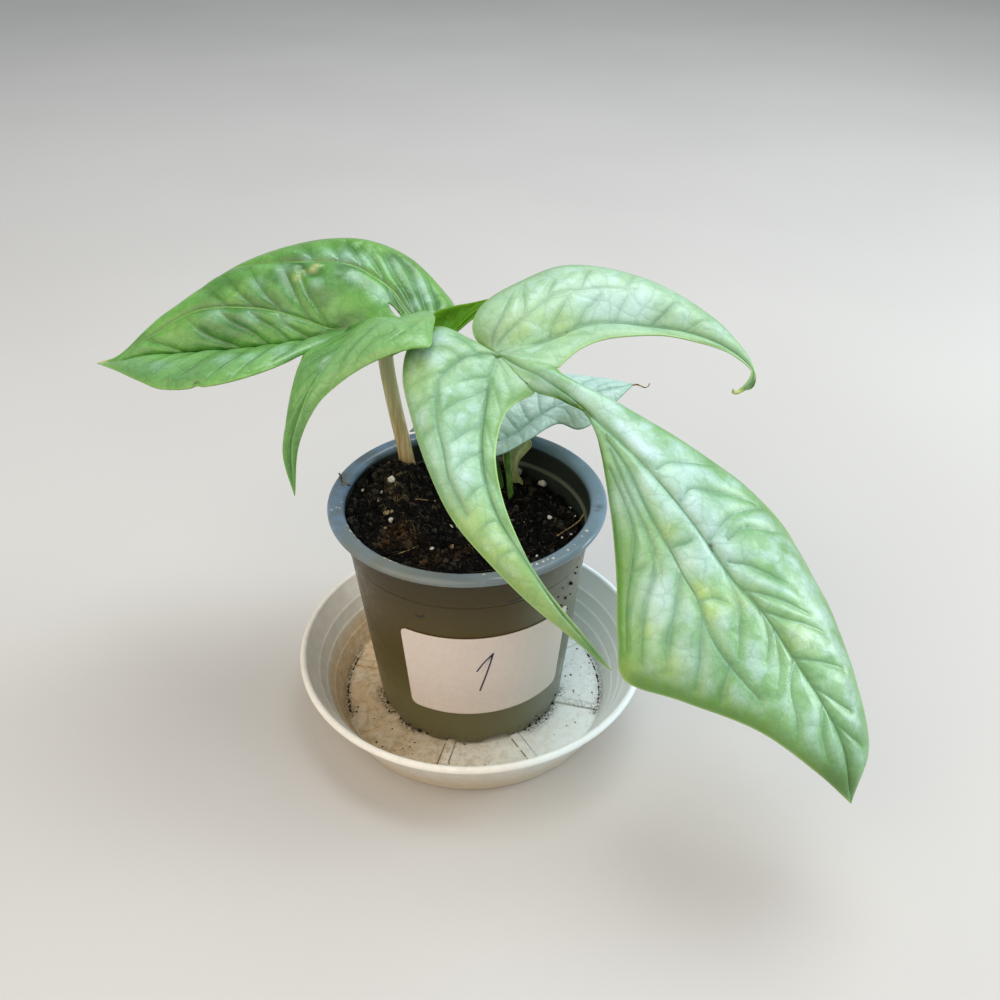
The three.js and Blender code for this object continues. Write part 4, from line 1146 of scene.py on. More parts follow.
def leaf_finish(leaf, green):
    """Leaf skin: two greens in patches, silver on the raised skin that is partly a painted highlight, pale
    patches that on the left leaf are painted highlights, toned veins that are partly painted shade in the
    creases, a yellower margin, painted shade where margins curl and a duller underside, with fine cells in
    the relief."""
    name, rough, silver_share, vein_width, patch_size, net_size, coat, colors = LEAF_SKINS[leaf]
    tones = {tone: paint(*color) for tone, color in zip(TONES, colors)}
    skin = Finish(name, Specular_IOR_Level=min(0.5, 0.15 + coat), Coat_Weight=coat, Coat_Roughness=0.25)
    patches = skin.mottle((patch_size, 3, 0.5), 0.34, 0.66)
    skin.color = skin.mix(patches, tones["deep"], green)
    skin.tint(skin.field("second"), tones["second"])
    dapple = skin.mottle((0.6 * patch_size, 2, 0.5), 0.38, 0.64, 0.1, 1.0)
    inland = skin.times(dapple, skin.range(skin.field("edge"), 1.5, 11.0, 0.15, 1.0))
    # Silver on the raised skin: partly the leaf's own silver, partly a painted highlight on the bulges.
    silver_and_sheen = skin.times(skin.range(skin.field("puff"), 0.3, 0.95), inland)
    skin.tint(skin.times(silver_and_sheen, silver_share), tones["silver"])
    lime = skin.times(skin.field("lime"), skin.mottle((9, 3, 0.5), 0.3, 0.62, 0.7, 1.0))
    skin.tint(lime, tones["margin"])
    skin.tint(skin.times(skin.field("yellow"), 0.75), tones["yellow"])
    # Pale patches: on the right leaf its silver, on the left leaf painted highlights.
    skin.tint(skin.times(skin.field("pale"), 0.85), tones["pale"])
    stipple = skin.times(skin.mottle((0.9, 2, 0.6), 0.5, 0.62, 0.0, 0.3), dapple)
    stipple = skin.times(stipple, skin.range(skin.field("lime"), 0.0, 0.6, silver_share, 0.0))
    skin.tint(stipple, tones["silver"])
    grain = skin.mottle((0.8, 3, 0.65), 0.3, 0.7, 0.93, 1.06)
    grey = skin.node("ShaderNodeCombineColor", {0: grain, 1: grain, 2: grain}).outputs[0]
    skin.tint(1.0, grey, "MULTIPLY")
    net = skin.cells(net_size, "DISTANCE_TO_EDGE", skin.warped(5, 6))
    skin.tint(skin.range(net, 0.01, 0.09, 0.20, 0.0), tones["side_vein_and_shade"])
    # Dark side veins with a soft halo: the veins' own tone, and on the left leaf also painted shade in the
    # creases.
    inward = skin.range(skin.field("edge"), 0.5, 9.0, 0.35, 1.0)
    power = skin.times(skin.field("power"), inward)
    thin = skin.times(skin.line("side", 0.55 * vein_width), power)
    thin = skin.times(thin, skin.mottle((7, 2), 0.34, 0.6, 0.55, 1.0))
    halo = skin.times(skin.range(skin.field("side"), 0.3, 2.6, 0.45, 0.0), power)
    skin.tint(skin.math("MAXIMUM", thin, halo), tones["side_vein_and_shade"])
    strong = skin.line("leading", vein_width)
    # A darker band beside the leading veins: partly their tone and partly painted shade in their grooves.
    broad = skin.range(skin.field("leading"), 0.6, 3.0, 0.3, 0.0)
    skin.tint(broad, tones["side_vein_and_shade"])
    broken = skin.mottle((13, 2), 0.36, 0.6, 0.45, 0.9)
    skin.tint(skin.times(strong, broken), tones["vein"])
    border = skin.range(skin.field("edge"), 0.1, 1.2, 0.8, 0.0)
    skin.tint(border, tones["rim"])
    skin.tint(skin.field("blister"), paint(176, 184, 124))
    skin.tint(skin.field("scorch"), paint(46, 48, 24))
    # Dark olive where the right leaf is darker; on the curled margin, the hook and the middle lobe's near
    # margin this is painted shade.
    skin.tint(skin.field("fold"), paint(66, 108, 16))
    under_color = skin.mix(skin.times(strong, 0.6), tones["under"], tones["margin"])
    skin.tint(skin.field("under"), under_color)
    rough = skin.mottle((3, 3), 0.3, 0.7, rough - 0.05, rough + 0.08)
    crease = skin.math("MAXIMUM", skin.line("side", 0.3, 0.9), skin.line("leading", 0.4, 1.0))
    crease = skin.math("SUBTRACT", 1.0, crease)
    normal = skin.bump(skin.range(net, 0.0, 0.4), 0.5, 0.38)
    normal = skin.bump(crease, 0.25, 0.6, normal)
    normal = skin.bump(skin.cells(0.8), 0.06, 0.4, normal)
    normal = skin.bump(skin.noise(2.6, 4, 0.6), 0.3, 0.5, normal)
    normal = skin.bump(skin.noise(7, 3, 0.5), 1.0, 0.4, normal)
    return skin.done(rough, normal)


def leaf_lines(halves, veins, rules):
    """Veins traced in the photograph, veins by rule, and the halves' own veins."""
    lines = vein_lines(halves, veins)
    for half in halves:
        lines.append((1.0, half["rows"][:, 0]))
        if half["name"] in rules:
            lines.extend(ruled_veins(half, *rules[half["name"]]))
    return lines


def lime_field(halves, owner, edge, width):
    """Share of the margin's tone: strongest at the rim, gone at the named reach, or at
    half of the blade's own width where that is less."""
    share = np.zeros(len(edge))
    for i, half in enumerate(halves):
        strength, reach = LIME_MARGINS.get(half["name"], (0.35, 3.0))
        near = np.clip(1 - edge / np.clip(0.5 * width, 0.5, reach), 0, 1)
        share = np.where(owner == i, strength * near**2 * (3 - 2 * near), share)
    return share


def nick_margin(points, to_vein, nicks, where):
    """Draws the margin towards the vein by depth bell(d, width) round each nick."""
    allowed = np.flatnonzero(where)
    inward = to_vein / np.maximum(np.linalg.norm(to_vein, axis=1, keepdims=True), 1e-6)
    for x, y, depth, width in nicks:
        centre = nearest_seen(points[allowed], ((x, y),))[0]
        away = np.linalg.norm(points - centre, axis=1)
        points = points + (depth * bell(away, width) * where)[:, None] * inward
    return points


def make_leaf(name, halves, lines, groove, swell, material, marks, hole=None):
    """One leaf: the joined and raised blade with its fields, thickened and placed."""
    points, faces, fields, owner, thickness = build_blade(halves, lines, groove / MM, swell)
    if "nicks" in marks:
        vein = next(half["rows"][:, 0] for half in halves if half["name"] == "near")
        to_vein = nearest_on_lines(points, [(1.0, vein)], np.inf)[0]
        near = owner == [half["name"] for half in halves].index("near")
        points = nick_margin(points, to_vein, marks["nicks"], near & (fields["edge"] < 4))
    fields["lime"] = lime_field(halves, owner, fields["edge"], fields.pop("width"))
    for mark in ("pale", "yellow", "blister", "scorch", "fold"):
        spots, names = marks.get(mark, ((), ()))
        where = np.isin(owner, [i for i, half in enumerate(halves) if half["name"] in names])
        fields[mark] = spots_field(points, spots, where) if spots else np.zeros(len(points))
    if hole:
        points, faces = punch_hole(points, faces, hole)
    points, faces, arrays = drop_unused(points, faces, [*fields.values(), thickness])
    fields = dict(zip(fields, arrays[:-1]))
    shell, shell_faces = thicken(points, faces, arrays[-1])
    make_piece(name, shell, shell_faces, material, (name,), both_faces(fields, len(points)))


class LeafSettings(bpy.types.PropertyGroup):
    """Greens of the leaves and depth of their vein grooves"""
    groove: bpy.props.FloatProperty(
        name="Vein groove", description="Depth of the grooves over the veins", default=0.35 * MM,
        unit="LENGTH")
    left_green: bpy.props.FloatVectorProperty(
        name="Left leaf", description="Main green of the left leaf", default=paint(96, 160, 62),
        subtype="COLOR")
    right_green: bpy.props.FloatVectorProperty(
        name="Right leaf", description="Main green of the right leaf", default=paint(144, 192, 136),
        subtype="COLOR")
    # Partly painted light: paler and bluer than the back leaf's own green, against the right leaf's shade.
    back_green: bpy.props.FloatVectorProperty(
        name="Back leaf", description="Main green of the back leaf", default=paint(208, 240, 228),
        subtype="COLOR")


class PLANT_OT_left_leaf(bpy.types.Operator):
    """Build the glossy left leaf with its fold, finger and hole"""
    bl_idname = "plant.left_leaf"
    bl_label = "Left leaf"

    def execute(self, context):
        settings = context.scene.plant_leaves
        vein = smooth_line(LEFT_LEAF["far"]["vein"], LEFT_STEPS)
        finger = smooth_line(LEFT_LEAF["finger_vein"], LEFT_STEPS)
        fork = LEFT_FORK * LEFT_STEPS
        bent = np.vstack([vein[:fork], finger])
        halves = [
            half_blade(line, LEFT_LEAF[name], name, BLADE_COLUMNS[name])
            for name, line in (("far", vein), ("near", vein[fork:]), ("flap", bent), ("finger", finger))
        ]
        # The left leaf's pale marks are painted highlights.
        marks = {
            "blister": (BLISTERS, ("far",)), "yellow": (LEFT_YELLOW, ("far", "near", "flap")),
            "pale": (LEFT_PAINTED_HIGHLIGHTS, ("far", "near")), "scorch": (LEFT_SCORCH, ("far",)), "nicks": LEFT_NICKS,
        }
        lines = leaf_lines(halves, LEFT_LEAF_VEINS, LEFT_RULES)
        material = leaf_finish("left_leaf", settings.left_green)
        make_leaf("left_leaf", halves, lines, settings.groove, LEFT_SWELL, material, marks,
                  LEFT_HOLE)
        return {"FINISHED"}


class PLANT_OT_right_leaf(bpy.types.Operator):
    """Build the silvery right leaf with its three lobes"""
    bl_idname = "plant.right_leaf"
    bl_label = "Right leaf"

    def execute(self, context):
        settings = context.scene.plant_leaves
        halves = []
        for name in RIGHT_HALVES:
            lobe = name.split("_")[0]
            vein = smooth_line(RIGHT_LEAF[lobe + "_vein"], MIDDLE_STEPS if lobe == "middle" else SIDE_STEPS)
            halves.append(half_blade(vein, RIGHT_LEAF[name], name, BLADE_COLUMNS[name]))
        marks = {
            "pale": (PALE_PATCHES, RIGHT_HALVES), "yellow": (YELLOW_PATCHES, RIGHT_HALVES),
            "scorch": (RIGHT_SCORCH, ("middle_outer", "middle_inner", "far_outer")),
            # Painted shade on the curled margin, the hook and the near margin, with darker olive places.
            "fold": (CURLED_MARGIN_SHADE + HOOK_UNDERSIDE_SHADE + OLIVE_PLACES, RIGHT_HALVES),
        }
        lines = leaf_lines(halves, RIGHT_LEAF_VEINS, RIGHT_RULES)
        material = leaf_finish("right_leaf", settings.right_green)
        make_leaf("right_leaf", halves, lines, settings.groove, RIGHT_SWELL, material, marks)
        return {"FINISHED"}


def make_tip(name, path, radii, sides, material):
    """A thin tube along a path, at a leaf's tip."""
    points, faces, _ = join_grids([sweep(even_line(path, len(radii)), radii, sides)], [False])
    make_piece(name, points, faces, material)


class PLANT_OT_small_leaves(bpy.types.Operator):
    """Build the back leaf, the young leaf and the pale sheath"""
    bl_idname = "plant.small_leaves"
    bl_label = "Small leaves"

    def execute(self, context):
        settings = context.scene.plant_leaves
        dry = plain_skin("dry_tip_skin", 0.3, (1.5, 3), (0.35, 0.65), (92, 66, 40), (168, 138, 92), 0.7)
        make_tip("back_leaf_tip", BACK_THREAD, np.linspace(0.45, 0.2, 16), 8, dry)
        green, straw = (140, 172, 84), (190, 208, 136)
        pale = plain_skin("rolled_tip_skin", 0.4, (2, 3), (0.35, 0.65), green, straw, 0.45)
        taper = 1.05 * np.sqrt(np.linspace(1, 0.12, 24))
        make_tip("right_leaf_tip", ROLLED_TIP, taper, 20, pale)
        greens = {"young_leaf": paint(98, 152, 18), "sheath": paint(204, 216, 156)}
        greens["back_leaf"] = settings.back_green
        for name, (slot, leaf, names, rule, swell) in SMALL_LEAVES.items():
            vein = smooth_line(leaf["vein"], SIDE_STEPS)
            halves = [half_blade(vein, leaf[half], half, SMALL_COLUMNS) for half in names]
            lines = leaf_lines(halves, {}, {half: rule for half in names})
            make_leaf(name, halves, lines, settings.groove, swell, leaf_finish(name, greens[name]), {})
        return {"FINISHED"}


def tan_stalk_skin():
    """Straw streaks along the stalk, browner at its foot and greener higher up."""
    skin = Finish("tan_stalk_skin", Specular_IOR_Level=0.4)
    _, _, z = skin.axes()
    streak = skin.mottle((1, 4, 0.6, skin.squeeze((1, 1, 0.05))), 0.35, 0.65)
    skin.color = skin.mix(streak, paint(176, 146, 92), paint(232, 208, 156))
    skin.tint(skin.times(skin.span(z, 95, 165), 0.75), paint(178, 190, 142))
    skin.tint(skin.times(skin.span(z, 92, 112, 1.0, 0.0), 0.7), paint(212, 146, 84))
    return skin.done(skin.range(streak, 0, 1, 0.6, 0.45), skin.bump(streak, 0.15, 0.6))


def green_stalk_skin():
    """Green streaks along the stalk."""
    skin = Finish("green_stalk_skin", Specular_IOR_Level=0.5)
    streak = skin.mottle((0.9, 3, 0.6, skin.squeeze((1, 1, 0.08))), 0.35, 0.65)
    skin.color = skin.mix(streak, paint(58, 96, 34), paint(96, 138, 58))
    return skin.done(0.42, skin.bump(streak, 0.08, 0.5))


class PLANT_OT_stalks(bpy.types.Operator):
    """Build the four stalks"""
    bl_idname = "plant.stalks"
    bl_label = "Stalks"

    def execute(self, context):
        skins = {"tan_stalk": tan_stalk_skin(), "green_stalk": green_stalk_skin()}
        share = np.linspace(0, 1, STALK_RINGS)
        swelling = 1 + 0.16 * bell(share - 0.93, 0.05) + 0.10 * bell(share - 0.25, 0.12)
        for name, (radius, path) in STALKS.items():
            grid = sweep(even_line(path, STALK_RINGS), radius * np.minimum(swelling, 1.12), STALK_SIDES)
            points, faces, _ = join_grids([grid], [False])
            slot = "tan_stalk" if name == "left_stalk" else "green_stalk"
            make_piece(name, points, faces, skins[slot], (name,))
        return {"FINISHED"}


# Saucer


class PotSettings(bpy.types.PropertyGroup):
    """Colours and fineness of the pot and the saucer"""
    rim_color: bpy.props.FloatVectorProperty(
        name="Rim", description="Colour of the rolled rim", default=paint(114, 142, 172), subtype="COLOR")
    body_color: bpy.props.FloatVectorProperty(
        name="Body", description="Colour of the pot's body", default=paint(76, 66, 28), subtype="COLOR")
    saucer_color: bpy.props.FloatVectorProperty(
        name="Saucer", description="Colour of the saucer", default=paint(248, 244, 234), subtype="COLOR")
    columns: bpy.props.IntProperty(
        name="Columns", description="Columns round the pot and saucer", default=320, min=48)


def saucer_wall(z):
    """Inner wall radius of the saucer at a height."""
    share = (z - SAUCER_FLOOR) / (SAUCER_HEIGHT - SAUCER_FLOOR)
    return SAUCER_FLOOR_RADIUS + (SAUCER_RADIUS - SAUCER_WALL - SAUCER_FLOOR_RADIUS) * share


def saucer_profile():
    """The section from the middle of the underside over the lip to the middle of the
    floor, and the index of its first point inside."""
    steps = []
    for z in reversed(SAUCER_STEPS):
        radius = saucer_wall(z)
        steps += [(radius + 0.05, z + 0.35), (radius - 0.15, z + 0.05),
                  (radius - SAUCER_STEP_DEPTH + 0.1, z - 0.3), (radius - SAUCER_STEP_DEPTH - 0.1, z - 0.8)]
    lip = smooth_line(np.array(SAUCER_LIP) + (SAUCER_RADIUS, SAUCER_HEIGHT), 4)
    foot = smooth_line(np.array(SAUCER_FOOT) + (SAUCER_BASE_RADIUS, 0), 4)
    bowl = smooth_line(np.array(SAUCER_BOWL) + (SAUCER_FLOOR_RADIUS, SAUCER_FLOOR), 4)
    inward = np.linspace(SAUCER_FLOOR_RADIUS - 3, 0, 44)
    floor_rings = np.stack([inward, np.full(len(inward), SAUCER_FLOOR)], axis=1)
    return np.vstack([[(0, 0), (30, 0)], foot, lip, steps, bowl, floor_rings]), 2 + len(foot) + len(lip)


def saucer_ribs():
    """A grid for each floor rib: its section carried outwards, with closed ends."""
    inner, outer = RIB_REACH
    half = RIB_WIDTH / 2
    section = np.array([
        (-half, -0.6), (-half, 0.5), (-half + 0.35, 0.9), (-half + 0.8, RIB_HEIGHT),
        (half - 0.8, RIB_HEIGHT), (half - 0.35, 0.9), (half, 0.5), (half, -0.6), (-half, -0.6),
    ])
    reach = np.array([inner, inner, inner + 0.4, outer - 0.4, outer, outer])[:, None]
    scale = np.array([0, 1, 1, 1, 1, 0.0])[:, None]
    across = section[None, :, 0] * scale
    up = np.where(scale > 0, section[None, :, 1], 0.2)
    grids = []
    for i in range(RIB_COUNT):
        turn = math.radians(RIB_FIRST_ANGLE + i * 360 / RIB_COUNT)
        x = reach * math.cos(turn) - across * math.sin(turn)
        y = reach * math.sin(turn) + across * math.cos(turn)
        grids.append(np.stack([x, y, SAUCER_FLOOR + up], axis=-1))
    return grids


def saucer_fields(points):
    """Shares of grime near the traced paths on the floor, and of dark lines beside the listed ribs."""
    grime = np.zeros(len(points))
    for _, _, path in SAUCER_GRIME[:4]:
        line = smooth_line(on_level(path, SAUCER_FLOOR), 4)
        grime = np.maximum(grime, bell(distance_to_line(points, line), 2.3))
    beside = np.zeros(len(points))
    for share, path in RIB_DARK_LINES:
        away = distance_to_line(points, on_level(path, SAUCER_FLOOR + RIB_HEIGHT))
        beside = np.maximum(beside, share * np.clip(2 - away / 3.0, 0, 1))
    return grime, beside * (np.abs(points[:, 2] - SAUCER_FLOOR) < 1.2)


def saucer_skin(cream):
    """Cream plastic, browner low down and at the left, where the brown is partly a stain, partly painted
    shade and partly a painted warm reflection; whiter at the right, which is painted light; with dark lines
    beside the ribs.
    """
    skin = Finish("saucer_plastic_skin", Specular_IOR_Level=0.45)
    x, y, z = skin.axes()
    radius = skin.math("SQRT", skin.math("ADD", skin.times(x, x), skin.times(y, y)))
    spacing = 2 * math.pi / RIB_COUNT
    turned = 4 * spacing - math.radians(RIB_FIRST_ANGLE) + spacing / 2
    shifted = skin.math("ADD", skin.math("ARCTAN2", y, x), turned)
    local = skin.math("SUBTRACT", skin.math("MODULO", shifted, spacing), spacing / 2)
    beside = skin.math("ABSOLUTE", skin.times(radius, skin.math("SINE", local)))
    from_line = skin.math("ABSOLUTE", skin.math("SUBTRACT", beside, 2.2 * MM))
    rib_line = skin.times(skin.span(from_line, 0.1, 0.55, 1.0, 0.0), skin.mottle((3, 3, 0.6), 0.36, 0.5))
    rib_line = skin.times(rib_line, skin.field("beside_ribs"))
    inner = skin.times(skin.span(z, 12, 20, 1.0, 0.0), skin.field("within"))
    uneven = skin.noise(6, 4, 0.6)
    patch = skin.times(skin.mottle((1.1, 4, 0.65), 0.36, 0.62), skin.field("grime"))
    # Tan towards the left, patchy like a stain: partly a stain and partly painted warm shade where the pot
    # shades the saucer.
    stain_and_warm_shade = skin.times(skin.span(x, -50, 16, 0.8, 0.0), skin.range(uneven, 0.25, 0.7, 0.55, 1.0))
    # Brown low on the inner wall: a mottled stain, and stronger at the left, where the extra brown is
    # painted shade.
    wall = skin.times(skin.span(z, 3, 24, 0.55, 0.05), skin.mottle((3.5, 5, 0.7), 0.4, 0.66))
    wall = skin.times(skin.times(wall, skin.field("within")), skin.span(x, -30, 40, 1.0, 0.3))
    # Painted reflection: the outer wall tan low down, as a warm surface below would reflect in it.
    outside = skin.times(skin.range(skin.field("within"), 0, 1, 0.6, 0.0), skin.span(z, 4, 29, 1.0, 0.0))
    skin.color = skin.mix(skin.range(uneven, 0.3, 0.7), cream, paint(236, 232, 220))
    # Painted light: whiter and bluer towards the right, where light falls on the saucer.
    skin.tint(skin.span(x, 0, 40, 0.0, 0.95), paint(238, 252, 255))
    skin.tint(skin.times(inner, stain_and_warm_shade), paint(232, 196, 138))
    skin.tint(skin.times(inner, wall), paint(176, 152, 108))
    skin.tint(outside, paint(206, 180, 136))
    skin.tint(skin.times(patch, 0.8), paint(60, 48, 34))
    skin.tint(skin.times(rib_line, 0.85), paint(46, 36, 24))
    rough = skin.range(uneven, 0.3, 0.7, 0.36, 0.5)
    return skin.done(rough, skin.bump(skin.noise(1.6, 4, 0.6), 0.05, 0.5))


def saucer_dirt():
    """Centres and radii of the crumbs that are scattered about the traced paths."""
    draw = np.random.default_rng(SEED + 5)
    spots, radii = [], []
    for count, scatter, path in SAUCER_GRIME:
        line = even_line(on_level(path, SAUCER_FLOOR), 80)
        spot = line[draw.integers(0, 80, count)] + scatter * draw.normal(size=(count, 3))
        spots.append(spot[:, :2])
        radii.append(0.15 + 0.4 * draw.random(count) ** 2.5)
    spots, radii = np.vstack(spots), np.concatenate(radii)
    out = np.hypot(spots[:, 0], spots[:, 1])
    spots *= np.minimum(1, (SAUCER_FLOOR_RADIUS - 0.8) / out)[:, None]
    return np.column_stack([spots, SAUCER_FLOOR + 0.25 * radii]), radii


class PLANT_OT_saucer(bpy.types.Operator):
    """Build the saucer with its stepped wall and floor ribs"""
    bl_idname = "plant.saucer"
    bl_label = "Saucer"

    def execute(self, context):
        settings = context.scene.plant_pot
        profile, first_inside = saucer_profile()
        grids = [lathe(profile, settings.columns)] + saucer_ribs()
        points, faces, kept = join_grids(grids, [False] + [True] * RIB_COUNT)
        within = np.tile(np.arange(len(profile)) >= first_inside, len(grids[0])).astype(float)
        within = np.concatenate([within, np.ones(sum(grid[..., 0].size for grid in grids[1:]))])[kept]
        grime, beside = saucer_fields(points)
        fields = {"grime": grime * within, "beside_ribs": beside, "within": within}
        material = saucer_skin(settings.saucer_color)
        make_piece("saucer", points, faces, material, ("saucer",), fields)

        points, faces, _ = lumps(*saucer_dirt(), SEED + 6, 0.3, 0.6)
        dirt = plain_skin("saucer_dirt_skin", 0.2, (2, 3), (0.4, 0.6), (22, 18, 14), (52, 40, 28), 0.9)
        make_piece("saucer_dirt", points, faces, dirt, smooth=False)
        return {"FINISHED"}


# Pot and label


def pot_radius(z):
    """Outer radius of the pot's cone at a height."""
    share = (z - POT_BASE) / (POT_STEP - POT_BASE)
    return POT_FOOT_RADIUS + (POT_SHOULDER_RADIUS - POT_FOOT_RADIUS) * share


def off_centre(x, y):
    """Distance from the pot's axis."""
    return np.hypot(x - POT_CENTRE[0], y - POT_CENTRE[1])


def about_axis(radius, angle):
    """Both level coordinates at a radius and an angle about the pot's axis."""
    return POT_CENTRE[0] + radius * np.cos(angle), POT_CENTRE[1] + radius * np.sin(angle)


def foot_lift(angle, profile):
    """How far notches in the foot raise its lower edge: half ovals along the angle."""
    lift = np.zeros(np.broadcast(angle, profile[..., 0]).shape)
    for first, width, height in FOOT_NOTCHES:
        for i in range(NOTCH_REPEATS):
            away = angle - math.radians(first + i * 360 / NOTCH_REPEATS)
            away = (away + np.pi) % (2 * np.pi) - np.pi
            share = away * POT_FOOT_RADIUS / (width / 2)
            lift = np.maximum(lift, height * np.sqrt(np.clip(1 - share**2, 0, 1)))
    wall = profile[..., 0] > POT_FOOT_RADIUS - POT_FOOT_WIDTH - 0.1
    low = profile[..., 1] < POT_BASE + POT_FLOOR_LIFT - 0.1
    return np.clip(lift - (profile[..., 1] - POT_BASE), 0, None) * (wall & low)


def pot_profile():
    """The section from the middle of the underside over the rim to the middle of the
    inner floor, and the index of its last point outside."""
    floor = POT_BASE + POT_FLOOR_LIFT
    ring = pot_radius(POT_STEP)
    heights = np.linspace(POT_BASE + 3.2, POT_STEP - 1.4, 56)
    body = np.stack([pot_radius(heights), heights], axis=1)
    rim = smooth_line(np.array(POT_RIM) + (POT_RIM_RADIUS, POT_TOP), 5)
    collar = np.linspace((ring + POT_STEP_DEPTH + 0.05, POT_STEP + 0.6), rim[0] - (0.05, 0.6), 8)
    foot_inner = POT_FOOT_RADIUS - POT_FOOT_WIDTH
    foot = [(0, floor), (POT_FOOT_RADIUS - 6, floor), (foot_inner, floor),
            (foot_inner + 0.4, POT_BASE + 1.0), (POT_FOOT_RADIUS - 1.4, POT_BASE + 0.05),
            (POT_FOOT_RADIUS - 0.2, POT_BASE), (POT_FOOT_RADIUS + 0.05, POT_BASE + 0.3)]
    step = [(ring - 0.05, POT_STEP - 0.9), (ring - POT_STEP_DEPTH, POT_STEP - 0.55),
            (ring - POT_STEP_DEPTH, POT_STEP - 0.3), (ring + POT_STEP_DEPTH - 0.1, POT_STEP - 0.05)]
    inside = [(POT_LEDGE_RADIUS + 0.15, POT_LEDGE + 1.6), (POT_LEDGE_RADIUS, POT_LEDGE + 0.7),
              (POT_LEDGE_RADIUS - 0.25, POT_LEDGE + 0.3), (ring - POT_WALL + 0.35, POT_LEDGE + 0.1),
              (ring - POT_WALL + 0.05, POT_LEDGE - 0.15), (ring - POT_WALL, POT_LEDGE - 0.6),
              (pot_radius(floor + 3) - POT_WALL, floor + 3),
              (pot_radius(floor) - POT_WALL - 1.2, floor + POT_WALL), (0, floor + POT_WALL)]
    outer = len(foot) + len(body) + len(step) + len(collar) + len(rim) - 8
    return np.vstack([foot, body, step, collar, rim, inside]), outer


def pot_skin(rim_tone, body_tone):
    """Olive-grey body and blue-grey rim, with flecks, smudges and scratches; with painted shade under the
    rim and in the step, painted light on the right, painted reflections on the rim and a painted highlight
    on the ledge.
    """
    skin = Finish("pot_plastic_skin", Specular_IOR_Level=0.38)
    x, y, z = skin.axes()
    top = skin.span(z, POT_TOP - 3.9, POT_TOP - 3.1)
    body = skin.mix(skin.mottle((22, 4, 0.6), 0.3, 0.7), body_tone, paint(76, 63, 17))
    body = skin.mix(skin.span(z, 10, 62, 0.8, 0.0), body, paint(106, 104, 70))
    # Painted shade: darker towards the top of the body, under the rim.
    body = skin.mix(skin.span(z, 72, 100, 0.0, 0.8), body, paint(53, 43, 9))
    # Painted light: lighter and cooler towards the right, where light falls on the pot and the saucer
    # reflects in it.
    body = skin.mix(skin.span(x, 12, 42, 0.0, 0.8), body, paint(104, 112, 98))
    # Painted shade: a thin dark line in the groove of the step.
    from_step = skin.math("ABSOLUTE", skin.math("SUBTRACT", z, (POT_STEP - 0.35) * MM))
    body = skin.mix(skin.span(from_step, 0.1, 0.5, 0.75, 0.0), body, paint(44, 40, 26))
    rim = skin.mix(skin.mottle((9, 4), 0.35, 0.65), rim_tone, paint(108, 126, 136))
    # Painted reflections and light on the rim: greyer at the front, warmer at the front left, bluer at the
    # right.
    front = skin.span(y, -50, -10, 0.7, 0.0)
    rim = skin.mix(front, rim, paint(124, 132, 128))
    rim = skin.mix(skin.times(front, skin.span(x, -40, 5, 0.75, 0.0)), rim, paint(112, 110, 90))
    rim = skin.mix(skin.span(x, 20, 50, 0.0, 0.7), rim, paint(122, 150, 168))
    skin.color = skin.mix(top, body, rim)
    # Painted highlight: a lighter line along the ledge inside the rim; below it the inside is darker.
    from_ledge = skin.math("ABSOLUTE", skin.math("SUBTRACT", z, (POT_LEDGE + 0.4) * MM))
    inside = skin.mix(skin.span(from_ledge, 0.4, 1.0, 0.8, 0.0), paint(46, 54, 50), paint(104, 108, 96))
    skin.tint(skin.times(skin.field("inside"), skin.span(z, POT_TOP - 4, POT_TOP - 2, 1.0, 0.0)), inside)
    flecks = skin.times(skin.field("fleck"), skin.mottle((0.7, 3, 0.7), 0.32, 0.48))
    skin.tint(skin.range(flecks, 0.25, 0.5), paint(226, 216, 190))
    skin.tint(skin.field("smudge"), paint(70, 72, 70))
    near_foot = skin.times(skin.span(z, 4, 11, 1.0, 0.0), skin.mottle((1.6, 4, 0.8), 0.52, 0.6))
    skin.tint(skin.times(near_foot, 0.8), paint(40, 34, 26))
    skin.tint(skin.line("mark", 0.45, 0.5), paint(34, 30, 22))
    rough = skin.math("SUBTRACT", skin.mottle((4, 4), 0.3, 0.7, 0.3, 0.42), skin.times(top, 0.14))
    return skin.done(rough, skin.bump(skin.noise(1.6, 3, 0.6), 0.03, 0.4))


class PLANT_OT_pot(bpy.types.Operator):
    """Build the nursery pot with its rolled rim and notched foot"""
    bl_idname = "plant.pot"
    bl_label = "Pot"

    def execute(self, context):
        settings = context.scene.plant_pot
        profile, outer = pot_profile()
        grid = lathe(profile, settings.columns + 160, POT_CENTRE, foot_lift)
        points, faces, kept = join_grids([grid], [False])
        above = points[:, 2] > POT_TOP - 1.6
        heights = np.arange(POT_BASE + 0.5, POT_TOP - 5, 0.25)
        turn, height = np.meshgrid(np.radians(np.arange(-175, -4, 0.25)), heights)
        reach = pot_radius(height) + 0.05
        seen_wall = np.stack([*about_axis(reach, turn), height], axis=-1).reshape(-1, 3)
        marks = [(1.0, nearest_seen(seen_wall, path)) for path in POT_MARKS]
        to_mark, mark, _ = nearest_on_lines(points, marks)
        fields = {
            "inside": np.tile(np.arange(len(profile)) > outer, len(grid))[kept].astype(float),
            "mark": mark, "to_mark": to_mark,
            "fleck": spots_field(points, RIM_FLECKS, above) * above,
            "smudge": spots_field(points, RIM_SMUDGES, above) * above,
        }
        material = pot_skin(settings.rim_color, settings.body_color)
        make_piece("pot", points, faces, material, ("pot",), fields)

        specks = np.array(POT_SPECKS)
        points, faces, _ = lumps(nearest_seen(seen_wall, specks[:, :2]), specks[:, 2], SEED + 7, 0.3, 0.9)
        dirt = plain_skin("pot_dirt_skin", 0.2, (2, 3), (0.4, 0.6), (20, 16, 12), (48, 38, 28), 0.9)
        make_piece("pot_dirt", points, faces, dirt, smooth=False)
        return {"FINISHED"}


